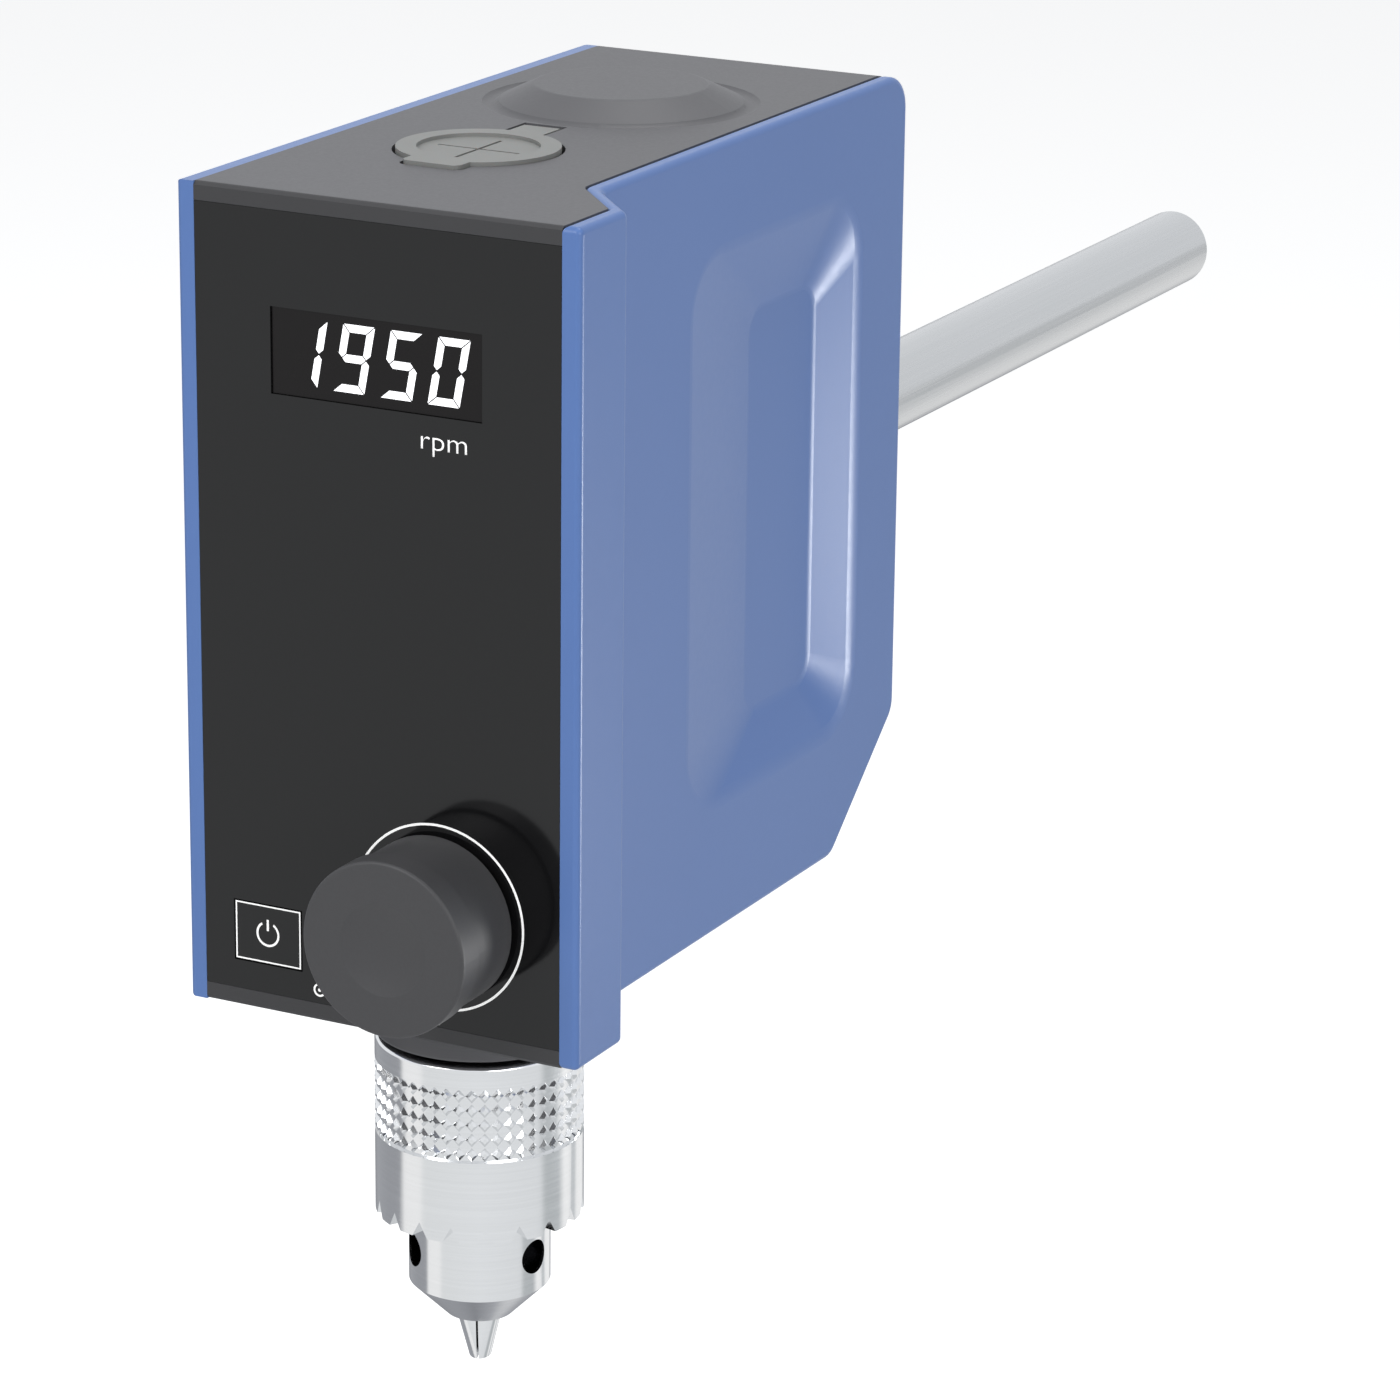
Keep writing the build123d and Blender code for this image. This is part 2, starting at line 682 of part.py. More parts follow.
# Rotary encoder: square body on the board, threaded bush through the core's front wall.
with BuildPart() as encoder_body:
    box_at(
        (knob_x - encoder_size / 2, knob_x + encoder_size / 2),
        (board_front_y - encoder_depth, board_front_y),
        (knob_z - encoder_size / 2, knob_z + encoder_size / 2),
    )
    rod_along_y(encoder_bush_r, knob_x, knob_z, core_front_y, board_front_y - encoder_depth)
    rod_along_y(
        encoder_cavity_r,
        knob_x,
        knob_z,
        board_front_y - encoder_depth + encoder_wall,
        board_front_y - encoder_wall,
        Mode.SUBTRACT,
    )
    rod_along_y(
        encoder_shaft_r + running_gap,
        knob_x,
        knob_z,
        core_front_y,
        board_front_y - encoder_wall,
        Mode.SUBTRACT,
    )
save(encoder_body, "encoder_body")

# Push plate inside the encoder, moved back when the knob is pressed.
with BuildPart() as encoder_push_plate:
    rod_along_y(
        encoder_cavity_r - running_gap,
        knob_x,
        knob_z,
        push_plate_y,
        push_plate_y + push_plate_thickness,
    )
save(encoder_push_plate, "encoder_push_plate")

# Encoder shaft with the collar that keeps it in the body.
with BuildPart() as encoder_shaft:
    rod_along_y(encoder_shaft_r, knob_x, knob_z, knob_face_y + knob_cap_length, push_plate_y - running_gap)
    rod_along_y(
        encoder_cavity_r - encoder_wall / 2,
        knob_x,
        knob_z,
        board_front_y - encoder_depth + encoder_wall + running_gap,
        push_plate_y - running_gap,
    )
save(encoder_shaft, "encoder_shaft")

# Hollow speed knob with the hub that grips the encoder shaft.
with BuildPart() as speed_knob:
    rod_along_y(knob_base_r, knob_x, knob_z, knob_face_y + knob_cap_length, knob_back_y)
    rod_along_y(
        knob_base_r - knob_wall,
        knob_x,
        knob_z,
        knob_face_y + knob_cap_length + knob_wall,
        knob_back_y,
        Mode.SUBTRACT,
    )
    rod_along_y(knob_hub_r, knob_x, knob_z, knob_face_y + knob_cap_length, knob_back_y)
    rod_along_y(encoder_shaft_r, knob_x, knob_z, knob_face_y + knob_cap_length, knob_back_y, Mode.SUBTRACT)
    with BuildSketch(Plane.XZ.offset(-knob_back_y + knob_wall)):
        with Locations((knob_x, knob_z)):
            with PolarLocations((knob_hub_r + knob_base_r - knob_wall) / 2, knob_web_count):
                Rectangle(knob_base_r - knob_hub_r - knob_wall / 2, knob_web_width)
    extrude(amount=knob_length - knob_cap_length - knob_panel_gap - 2 * knob_wall)
save(speed_knob, "speed_knob")

# Wider cap on the knob's front with a shallow finger dish.
with BuildPart() as knob_cap:
    rod_along_y(knob_cap_r, knob_x, knob_z, knob_face_y, knob_face_y + knob_cap_length)
    fillet(edges().group_by(Axis.Y)[0], knob_edge_r)
    with Locations((knob_x, knob_face_y + knob_dish_depth - knob_dish_ball_r, knob_z)):
        Sphere(knob_dish_ball_r, mode=Mode.SUBTRACT)
save(knob_cap, "knob_cap")

# Power key: a plate level with the panel, on a stem that reaches its switch.
with BuildPart() as power_key:
    box_at(
        (key_x - key_width / 2, key_x + key_width / 2),
        (front_y, front_y + key_thickness),
        (key_z - key_height / 2, key_z + key_height / 2),
    )
    rod_along_y(key_stem_r, key_x, key_z, front_y + key_thickness, switch_front_y - key_travel - snug)
save(power_key, "power_key")

# Tactile switch behind the power key.
with BuildPart() as power_switch:
    box_at(
        (key_x - switch_size / 2, key_x + switch_size / 2),
        (switch_front_y + switch_button, board_front_y),
        (key_z - switch_size / 2, key_z + switch_size / 2),
    )
    rod_along_y(key_stem_r, key_x, key_z, switch_front_y, switch_front_y + switch_button)
save(power_switch, "power_switch")

# ---------------------------------------------------------------- drive
# Drive chassis: plate on four posts with the hub of the upper bearing.
with BuildPart() as drive_chassis:
    with BuildSketch(Plane.XY.offset(chassis_z)):
        with Locations(((chassis_left + chassis_right) / 2, (chassis_front + chassis_rear) / 2)):
            RectangleRounded(chassis_right - chassis_left, chassis_rear - chassis_front, chassis_corner_r)
    extrude(amount=chassis_thickness)
    hub_top = upper_bearing_top + hub_ledge
    rod_along_z(bearing_outer_r + chassis_hub_wall, 0, 0, chassis_z, hub_top)
    rod_along_z(bearing_outer_r, 0, 0, chassis_z, upper_bearing_top, Mode.SUBTRACT)
    rod_along_z(bearing_outer_r - bearing_ledge, 0, 0, chassis_z, hub_top, Mode.SUBTRACT)
    rod_along_z(motor_pilot_r + snug, motor_x, motor_y, chassis_z, motor_z, Mode.SUBTRACT)
    for x, y in chassis_posts:
        rod_along_z(chassis_screw_r + snug, x, y, chassis_z, motor_z, Mode.SUBTRACT)
    for x, y in motor_screw_places:
        rod_along_z(motor_screw_r + snug, x, y, chassis_z, motor_z, Mode.SUBTRACT)
save(drive_chassis, "drive_chassis")

# Screws of the chassis, driven from above into the posts.
with BuildPart() as chassis_screws:
    for x, y in chassis_posts:
        rod_along_z(chassis_screw_r - snug, x, y, motor_z - chassis_screw_grip, motor_z)
        rod_along_z(chassis_screw_head_r, x, y, motor_z, motor_z + chassis_screw_head)
        with BuildSketch(Plane.XY.offset(motor_z + chassis_screw_head)):
            with Locations((x, y)):
                RegularPolygon(chassis_screw_r, 6)
        extrude(amount=-chassis_screw_head / 2, mode=Mode.SUBTRACT)
save(chassis_screws, "chassis_screws")

for level, bearing_z in (("lower", lower_bearing_z), ("upper", upper_bearing_z)):
    race_z = bearing_z + bearing_height / 2
    bearing_top = bearing_z + bearing_height
    # Outer ring with its ball groove, held by the housing.
    with BuildPart() as outer_ring:
        rod_along_z(bearing_outer_r, 0, 0, bearing_z, bearing_top)
        rod_along_z(bearing_outer_r - bearing_ring_wall, 0, 0, bearing_z, bearing_top, Mode.SUBTRACT)
        with Locations((0, 0, race_z)):
            Torus(ball_circle_r, ball_r + ball_play, mode=Mode.SUBTRACT)
    save(outer_ring, f"{level}_bearing_outer_ring")
    # Inner ring, turning with the spindle.
    with BuildPart() as inner_ring:
        rod_along_z(shaft_r + bearing_ring_wall, 0, 0, bearing_z, bearing_top)
        rod_along_z(shaft_r, 0, 0, bearing_z, bearing_top, Mode.SUBTRACT)
        with Locations((0, 0, race_z)):
            Torus(ball_circle_r, ball_r + ball_play, mode=Mode.SUBTRACT)
    save(inner_ring, f"{level}_bearing_inner_ring")
    # Balls between the two rings.
    with BuildPart() as balls:
        with Locations((0, 0, race_z)):
            with PolarLocations(ball_circle_r, ball_count):
                Sphere(ball_r)
    save(balls, f"{level}_bearing_balls")

# Lip seal in the mouth of the boss.
with BuildPart() as spindle_seal:
    rod_along_z(bearing_outer_r, 0, 0, -boss_height, lower_bearing_z)
    rod_along_z(shaft_r + seal_play, 0, 0, -boss_height, lower_bearing_z, Mode.SUBTRACT)
    groove_top = seal_groove - boss_height
    rod_along_z(bearing_outer_r - bearing_ledge, 0, 0, -boss_height, groove_top, Mode.SUBTRACT)
    rod_along_z(shaft_r + seal_play + seal_lip, 0, 0, -boss_height, lower_bearing_z)
    rod_along_z(shaft_r + seal_play, 0, 0, -boss_height, lower_bearing_z, Mode.SUBTRACT)
save(spindle_seal, "spindle_seal")

# Plain bush that guides the top of the spindle.
with BuildPart() as top_bush:
    rod_along_z(bush_outer_r, 0, 0, bush_z, bush_z + bush_height)
    rod_along_z(shaft_r + bush_play, 0, 0, bush_z, bush_z + bush_height, Mode.SUBTRACT)
    chamfer(edges().filter_by(GeomType.CIRCLE).group_by(Axis.Z)[-1].sort_by(SortBy.RADIUS)[0], bush_edge)
save(top_bush, "top_bush")

# Hollow spindle with the collar that locates the lower bearing.
with BuildPart() as hollow_spindle:
    rod_along_z(shaft_r, 0, 0, shaft_low_end, shaft_top)
    rod_along_z(collar_r, 0, 0, lower_bearing_top, lower_bearing_top + collar_height)
    rod_along_z(shaft_bore_r, 0, 0, shaft_low_end, shaft_top, Mode.SUBTRACT)
    chamfer(edges().filter_by(GeomType.CIRCLE).group_by(Axis.Z)[-1].sort_by(SortBy.RADIUS)[-1], shaft_edge)
save(hollow_spindle, "hollow_spindle")

# Retaining ring above the upper bearing.
with BuildPart() as retaining_ring:
    with BuildSketch(Plane.XY.offset(upper_bearing_top)):
        Circle(shaft_r + ring_wall)
        Circle(shaft_r, mode=Mode.SUBTRACT)
        with Locations((shaft_r + ring_wall / 2, 0)):
            Rectangle(2 * ring_wall, ring_gap, mode=Mode.SUBTRACT)
    extrude(amount=ring_thickness)
save(retaining_ring, "retaining_ring")


def pulley(radius, bore, x, y):
    """Flanged belt pulley in the open part."""
    rod_along_z(radius + pulley_flange_rise, x, y, pulley_z, pulley_z + pulley_flange)
    rod_along_z(radius, x, y, pulley_z + pulley_flange, pulley_top - pulley_flange)
    rod_along_z(radius + pulley_flange_rise, x, y, pulley_top - pulley_flange, pulley_top)
    rod_along_z(bore, x, y, pulley_z, pulley_top, Mode.SUBTRACT)


# Large pulley on the spindle, lightened by a ring of holes.
with BuildPart() as driven_pulley:
    pulley(driven_pulley_r, shaft_r, 0, 0)
    with BuildSketch(Plane.XY.offset(pulley_z)):
        with PolarLocations((shaft_r + driven_pulley_r) / 2, pulley_hole_count):
            Circle(pulley_hole_r)
    extrude(amount=pulley_top - pulley_z, mode=Mode.SUBTRACT)
save(driven_pulley, "driven_pulley")

# Small pulley on the motor shaft.
with BuildPart() as motor_pulley:
    pulley(motor_pulley_r, motor_shaft_r, motor_x, motor_y)
save(motor_pulley, "motor_pulley")

# Flat belt around both pulleys.
with BuildPart() as drive_belt:
    with BuildSketch(Plane.XY.offset(belt_z)):
        Circle(driven_pulley_r + belt_play + belt_thickness)
        with Locations((motor_x, motor_y)):
            Circle(motor_pulley_r + belt_play + belt_thickness)
        make_hull()
        offset(amount=-belt_thickness, mode=Mode.SUBTRACT)
    extrude(amount=belt_width)
save(drive_belt, "drive_belt")

# Motor can with cooling grooves, end bell and a pilot that centres it on the chassis.
with BuildPart() as motor_can:
    rod_along_z(motor_r, motor_x, motor_y, motor_z, motor_z + motor_length)
    fillet(edges().filter_by(GeomType.CIRCLE).group_by(Axis.Z)[-1], motor_edge_r)
    with BuildSketch(Plane.XY.offset(motor_z + motor_end_band)):
        with Locations((motor_x, motor_y)):
            with PolarLocations(motor_r, motor_groove_count):
                Rectangle(2 * motor_groove_depth, motor_groove_width)
    extrude(amount=motor_length - 2 * motor_end_band, mode=Mode.SUBTRACT)
    rod_along_z(motor_pilot_r, motor_x, motor_y, motor_z - motor_pilot_height, motor_z)
    rod_along_z(
        motor_shaft_r + running_gap,
        motor_x,
        motor_y,
        motor_z - motor_pilot_height,
        motor_z + motor_shaft_seat,
        Mode.SUBTRACT,
    )
    for x, y in motor_screw_places:
        rod_along_z(motor_screw_r - snug, x, y, motor_z, motor_z + motor_screw_depth, Mode.SUBTRACT)
save(motor_can, "motor_can")

# Screws that hang the motor on the chassis, driven from below.
with BuildPart() as motor_screws:
    for x, y in motor_screw_places:
        rod_along_z(motor_screw_r - snug, x, y, chassis_z, motor_z + motor_screw_depth)
        rod_along_z(motor_screw_head_r, x, y, chassis_z - motor_screw_head, chassis_z)
save(motor_screws, "motor_screws")

# Motor shaft, running in the can and carrying the small pulley.
with BuildPart() as motor_shaft:
    shaft_end = motor_z + motor_shaft_seat - motor_shaft_reach
    rod_along_z(motor_shaft_r, motor_x, motor_y, pulley_z - motor_shaft_reach, shaft_end)
save(motor_shaft, "motor_shaft")

# ---------------------------------------------------------------- key chuck
jaw_slope = tan(radians(jaw_angle))
jaw_tip_r = jaw_tip_reach - jaw_r / cos(radians(jaw_angle))
jaw_turns = [jaw_turn + turn * 360 / jaw_count for turn in range(jaw_count)]


def jaw_axis_r(z):
    """Distance of a closed jaw's own axis from the spindle axis at a height."""
    return jaw_tip_r + (z - jaw_tip) * jaw_slope


def jaw_reach(z):
    """Outermost radius of a closed jaw at a height."""
    return jaw_axis_r(z) + jaw_r / cos(radians(jaw_angle))


def jaw_plane(turn):
    """Plane square to a jaw's axis, at the height of the closed jaws' tip."""
    outward = Vector(*polar(sin(radians(jaw_angle)), turn, cos(radians(jaw_angle))))
    return Plane(origin=polar(jaw_tip_r, turn, jaw_tip), x_dir=Vector(*polar(1, turn + 90)), z_dir=outward)


nut_z = sleeve_bottom + sleeve_lip + snug
nut_top = nut_z + nut_height
chuck_body_r = sleeve_r - sleeve_wall - chuck_running_gap

# Chuck body: threaded on the spindle, with a nut groove, a nose, three jaw bores and three key holes.
with BuildPart() as chuck_body:
    with BuildSketch(Plane.XZ):
        with BuildLine():
            Polyline(
                (0, chuck_top),
                (chuck_body_r, chuck_top),
                (chuck_body_r, nut_top + nut_groove_play),
                (nut_groove_r, nut_top + nut_groove_play),
                (nut_groove_r, nut_z - nut_groove_play),
                (nose_r, nut_z - nut_groove_play),
                (nose_r, nose_shoulder),
                (nose_end_r, nose_end),
                (0, nose_end),
                close=True,
            )
        make_face()
    revolve(axis=Axis.Z)
    rod_along_z(shaft_r, 0, 0, shaft_low_end, chuck_top, Mode.SUBTRACT)
    rod_along_z(chuck_bore_r, 0, 0, nose_end, shaft_low_end, Mode.SUBTRACT)
    for turn in jaw_turns:
        with BuildSketch(jaw_plane(turn)):
            Circle(jaw_r + jaw_bore_play)
        extrude(amount=jaw_bore_length, mode=Mode.SUBTRACT)
        with BuildSketch(Plane(origin=polar(nose_r, turn, key_hole_z), z_dir=Vector(*polar(1, turn)))):
            Circle(key_hole_r)
        extrude(amount=-key_hole_depth, mode=Mode.SUBTRACT)
save(chuck_body, "chuck_body")

# Outer sleeve with the ring of bevel teeth that the chuck key turns.
with BuildPart() as chuck_sleeve:
    with BuildSketch(Plane.XZ):
        with BuildLine():
            Polyline(
                (sleeve_r - sleeve_wall, sleeve_top),
                (sleeve_r, sleeve_top),
                (sleeve_r, sleeve_bottom),
                (sleeve_lip_inner_r, sleeve_bottom),
                (sleeve_lip_inner_r, sleeve_bottom + sleeve_lip),
                (sleeve_r - sleeve_wall, sleeve_bottom + sleeve_lip),
                close=True,
            )
        make_face()
    revolve(axis=Axis.Z)
    fillet(edges().group_by(Axis.Z)[-1].sort_by(SortBy.RADIUS)[-1], sleeve_edge_r)
    # turned-down band of the knurling
    with BuildSketch(Plane.XY.offset(knurl_bottom)):
        Circle(sleeve_r)
        Circle(sleeve_r - knurl_depth, mode=Mode.SUBTRACT)
    extrude(amount=knurl_top - knurl_bottom, mode=Mode.SUBTRACT)
    for tooth in range(tooth_count):
        turn = jaw_turn + (tooth + 0.5) * 360 / tooth_count
        root = Vector(*polar(cos(radians(tooth_slope)), turn, sin(radians(tooth_slope))))
        across = Vector(*polar(1, turn + 90))
        rim = Plane(origin=polar(sleeve_r, turn, sleeve_bottom), x_dir=across, z_dir=root)
        with BuildSketch(rim):
            with BuildLine():
                Polyline(
                    (-tooth_gap / 2, -tooth_depth),
                    (tooth_gap / 2, -tooth_depth),
                    (tooth_gap / 2, 0),
                    (0, tooth_depth),
                    (-tooth_gap / 2, 0),
                    close=True,
                )
            make_face()
    extrude(amount=sleeve_r - sleeve_lip_inner_r + tooth_gap, both=True, mode=Mode.SUBTRACT)
save(chuck_sleeve, "chuck_sleeve")

# Threaded nut ring inside the sleeve that drives the jaws.
with BuildPart() as jaw_nut:
    with BuildSketch(Plane.XZ):
        with BuildLine():
            Polyline(
                (jaw_reach(nut_z) + nut_play, nut_z),
                (sleeve_r - sleeve_wall, nut_z),
                (sleeve_r - sleeve_wall, nut_top),
                (jaw_reach(nut_top) + nut_play, nut_top),
                close=True,
            )
        make_face()
    revolve(axis=Axis.Z)
save(jaw_nut, "jaw_nut")

# Three slanted jaws, ground so that they meet on the spindle axis.
for number, turn in enumerate(jaw_turns, start=1):
    with BuildPart() as jaw:
        with BuildSketch(jaw_plane(turn).offset(-jaw_r)):
            Circle(jaw_r)
        extrude(amount=(jaw_top - jaw_tip) / cos(radians(jaw_angle)) + 2 * jaw_r)
        with BuildSketch(Plane(origin=(0, 0, jaw_tip), x_dir=Vector(*polar(1, turn)), z_dir=(0, 0, 1))):
            with BuildLine():
                start = jaw_seam / 2 / sin(radians(180 / jaw_count))
                run = polar(sleeve_r, 180 / jaw_count)
                Polyline((start, 0), (start + run[0], -run[1]), (start + run[0], run[1]), close=True)
            make_face()
        extrude(amount=jaw_top - jaw_tip, mode=Mode.INTERSECT)
    save(jaw, f"jaw_{number}")

# ---------------------------------------------------------------- shaft cap
# Soft cap over the spindle's top end, with a finger tab and the strap that it hinges on.
with BuildPart() as shaft_cap:
    with BuildSketch(Plane.XY.offset(cap_seat_z + snug)):
        Circle(cap_recess_r - cap_play)
        with Locations((0, -cap_recess_r / 2)):
            RectangleRounded(cap_tab_width, cap_recess_r + 2 * (cap_tab_reach - cap_play), cap_tab_corner_r)
    extrude(amount=cap_height - snug)
    with BuildSketch(Plane.XY.offset(cap_seat_z + snug)):
        with Locations((0, hinge_y / 2)):
            Rectangle(strap_width, hinge_y)
    extrude(amount=2 * hinge_r)
    rod_along_x(hinge_r, hinge_y, cap_seat_z + snug + hinge_r, -strap_width / 2, strap_width / 2)
    with BuildSketch(Plane.XY.offset(cap_top)):
        Circle(cap_recess_r - cap_play - cap_ring_width)
    extrude(amount=-cap_dish_depth, mode=Mode.SUBTRACT)
    with BuildSketch(Plane.XY.offset(cap_top - cap_dish_depth)):
        Rectangle(cap_slit_length, cap_slit_width)
        Rectangle(cap_slit_width, cap_slit_length)
    extrude(amount=-cap_slit_depth, mode=Mode.SUBTRACT)
    rod_along_z(bush_outer_r - cap_skirt_play, 0, 0, cap_seat_z - cap_skirt_depth, cap_seat_z + snug)
    rod_along_z(
        bush_outer_r - cap_skirt_play - cap_skirt_wall,
        0,
        0,
        cap_seat_z - cap_skirt_depth,
        cap_seat_z + snug,
        Mode.SUBTRACT,
    )
save(shaft_cap, "shaft_cap")

# ---------------------------------------------------------------- extension arm and power inlet
# Aluminium socket in the back that holds the arm.
with BuildPart() as arm_socket:
    rod_along_y(socket_r, 0, arm_z, socket_front_y, back_y)
    rod_along_y(socket_flange_r, 0, arm_z, inner_back_y - socket_flange, inner_back_y)
    rod_along_y(arm_spigot_r + snug, 0, arm_z, arm_seat_y, back_y, Mode.SUBTRACT)
    rod_along_z(grub_r, 0, arm_seat_y + grub_inset, arm_z - socket_r, arm_z, Mode.SUBTRACT)
save(arm_socket, "arm_socket")

# Grub screw that locks the arm in its socket.
with BuildPart() as arm_grub_screw:
    rod_along_z(grub_r, 0, arm_seat_y + grub_inset, grub_z, grub_z + grub_length)
    with BuildSketch(Plane.XY.offset(grub_z)):
        with Locations((0, arm_seat_y + grub_inset)):
            RegularPolygon(grub_r / 2, 6)
    extrude(amount=grub_length / 2, mode=Mode.SUBTRACT)
save(arm_grub_screw, "arm_grub_screw")

# Steel extension arm, the rod that is clamped to a stand.
with BuildPart() as extension_arm:
    rod_along_y(arm_spigot_r, 0, arm_z, arm_seat_y, back_y)
    rod_along_y(arm_r, 0, arm_z, back_y, back_y + arm_exposed)
    chamfer(edges().filter_by(GeomType.CIRCLE).group_by(Axis.Y)[-1], arm_end_chamfer)
save(extension_arm, "extension_arm")

# Low-voltage power inlet with its centre pin.
with BuildPart() as power_inlet:
    box_at(
        (inlet_x - inlet_width / 2, inlet_x + inlet_width / 2),
        (back_y - inlet_depth, back_y),
        (inlet_z - inlet_height / 2, inlet_z + inlet_height / 2),
    )
    rod_along_y(inlet_bore_r, inlet_x, inlet_z, back_y - inlet_bore_depth, back_y, Mode.SUBTRACT)
    rod_along_y(inlet_pin_r, inlet_x, inlet_z, back_y - inlet_bore_depth, back_y - inlet_pin_setback)
save(power_inlet, "power_inlet")
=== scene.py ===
"""Looks of an overhead stirrer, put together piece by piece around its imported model."""

from math import cos, pi, radians, sin, tan

import bmesh
import bpy
from mathutils import Matrix, Vector


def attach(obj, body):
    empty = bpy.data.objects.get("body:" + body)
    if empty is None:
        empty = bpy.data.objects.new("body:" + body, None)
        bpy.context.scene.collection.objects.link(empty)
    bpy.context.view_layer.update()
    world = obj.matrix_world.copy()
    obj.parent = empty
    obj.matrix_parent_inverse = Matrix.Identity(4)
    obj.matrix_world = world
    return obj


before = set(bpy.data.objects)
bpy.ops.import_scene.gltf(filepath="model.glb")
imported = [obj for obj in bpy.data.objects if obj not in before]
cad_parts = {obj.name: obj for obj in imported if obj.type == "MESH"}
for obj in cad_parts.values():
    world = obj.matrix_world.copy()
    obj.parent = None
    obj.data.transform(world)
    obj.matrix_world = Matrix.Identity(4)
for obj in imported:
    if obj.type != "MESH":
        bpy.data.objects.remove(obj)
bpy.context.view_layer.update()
MM = 0.001

# ------------------------------------------------------------------ studio
# A white paper sweep under plain soft boxes, and the camera. What stands above is mirrored as
# plain white. Upright polished metal mirrors the sweep: pale, with greyer gaps between boxes.
scene = bpy.context.scene
scene.view_settings.view_transform = "Standard"

camera_azimuth, camera_elevation, camera_roll = radians(27.12), radians(17.48), radians(0.68)
camera_place = Vector((349.10, -614.76, 258.74)) * MM
backward = Vector((
    sin(camera_azimuth) * cos(camera_elevation),
    -cos(camera_azimuth) * cos(camera_elevation),
    sin(camera_elevation),
))
rightward = Vector((cos(camera_azimuth), sin(camera_azimuth), 0))
upward = backward.cross(rightward)
level = Matrix((rightward, upward, backward)).transposed().to_4x4()
camera = bpy.data.objects.new("camera", bpy.data.cameras.new("camera"))
camera.data.sensor_width = 36
camera.data.lens = 137.96
camera.data.clip_start = 0.01
camera.matrix_world = Matrix.Translation(camera_place) @ level @ Matrix.Rotation(camera_roll, 4, "Z")
scene.collection.objects.link(camera)
scene.camera = camera


def linear(code):
    """sRGB hex colour as linear values."""
    parts = [int(code[i:i + 2], 16) / 255 for i in (1, 3, 5)]
    return [p / 12.92 if p <= 0.04045 else ((p + 0.055) / 1.055) ** 2.4 for p in parts] + [1.0]


def add(tree, kind, settings=None, values=None, links=None):
    """Adds one shader node with its settings, its socket values and the links into it."""
    node = tree.nodes.new(kind)
    for name, value in (settings or {}).items():
        setattr(node, name, value)
    for socket, value in (values or {}).items():
        node.inputs[socket].default_value = value
    for socket, source in (links or {}).items():
        tree.links.new(source, node.inputs[socket])
    return node


def start(name):
    """An empty node material and its tree."""
    material = bpy.data.materials.new(name)
    material.use_nodes = True
    material.node_tree.nodes.clear()
    return material, material.node_tree


def dress(material, *names):
    """Gives CAD nodes their finish."""
    for name in names:
        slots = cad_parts[name].data.materials
        slots.clear()
        slots.append(material)


def walls(tree):
    """The greys of the room by compass heading, as what is polished mirrors them."""
    place = add(tree, "ShaderNodeTexCoord")
    heading = add(tree, "ShaderNodeTexGradient", {"gradient_type": "RADIAL"},
                  links={"Vector": place.outputs["Object"]})
    greys = add(tree, "ShaderNodeValToRGB", links={"Fac": heading.outputs["Fac"]})
    # degrees from the right of the object, and the grey that stands there
    stretches = (
        (-180, "#A3A5AA"), (-157, "#A3A5AA"), (-152, "#FFFFFF"), (-129, "#FFFFFF"), (-123, "#EDEFF0"),
        (-60, "#F2F4F6"), (8, "#EBEDEF"), (16, "#C2C6C8"), (36, "#B9BDC0"), (46, "#FFFFFF"),
        (56, "#FFFFFF"), (60, "#CFD2D5"), (69, "#CFD2D5"), (73, "#FFFFFF"), (92, "#FFFFFF"),
        (102, "#A9ABB0"), (128, "#8E9095"), (150, "#A9ABB0"), (180, "#A3A5AA"),
    )
    stops = greys.color_ramp.elements
    while len(stops) < len(stretches):
        stops.new(0.5)
    for stop, (turn, grey) in zip(stops, stretches):
        stop.position = turn / 360 + 0.5
        stop.color = linear(grey)
    return greys


world = bpy.data.worlds.new("studio")
scene.world = world
world.use_nodes = True
tree = world.node_tree
tree.nodes.clear()
rays = add(tree, "ShaderNodeLightPath")
seen = add(tree, "ShaderNodeMath", {"operation": "MAXIMUM"},
           links={0: rays.outputs["Is Camera Ray"], 1: rays.outputs["Is Transmission Ray"]})
plain = add(tree, "ShaderNodeBackground", values={"Color": linear("#F4F6F9"), "Strength": 0.38})
mirrored = add(tree, "ShaderNodeBackground", values={"Color": linear("#F4F6F9"), "Strength": 1.05})
white = add(tree, "ShaderNodeBackground", values={"Color": linear("#FFFFFF"), "Strength": 1.0})
gloss = add(tree, "ShaderNodeMixShader",
            links={0: rays.outputs["Is Glossy Ray"], 1: plain.outputs[0], 2: mirrored.outputs[0]})
shown = add(tree, "ShaderNodeMixShader",
            links={0: seen.outputs[0], 1: gloss.outputs[0], 2: white.outputs[0]})
add(tree, "ShaderNodeOutputWorld", links={"Surface": shown.outputs[0]})

# the low strip only shows as a soft gleam on satin paint, and lights nothing
housing_middle, recess_middle = Vector((0, 0.02, 0.04)), Vector((0.03, 0.03, 0.06))
for name, shape, place, aim, width, height, power in (
    ("strip_low_right", "RECTANGLE", (0.47, 0.30, -0.10), recess_middle, 0.10, 0.11, 1.7),
    ("soft_box_front", "DISK", (-0.45, -1.25, 0.95), housing_middle, 0.9, 0.9, 11.0),
    ("soft_box_right", "DISK", (1.25, -0.85, 0.45), housing_middle, 0.9, 0.9, 8.0),
    ("soft_box_top", "DISK", (0.1, 0.35, 1.6), housing_middle, 0.9, 0.9, 10.0),
):
    lamp = bpy.data.objects.new(name, bpy.data.lights.new(name, "AREA"))
    lamp.data.shape = shape
    lamp.data.size, lamp.data.size_y = width, height
    lamp.data.energy = power
    lamp.visible_diffuse = shape == "DISK"
    lamp.location = place
    lamp.rotation_euler = (Vector(place) - aim).to_track_quat("Z", "Y").to_euler()
    scene.collection.objects.link(lamp)

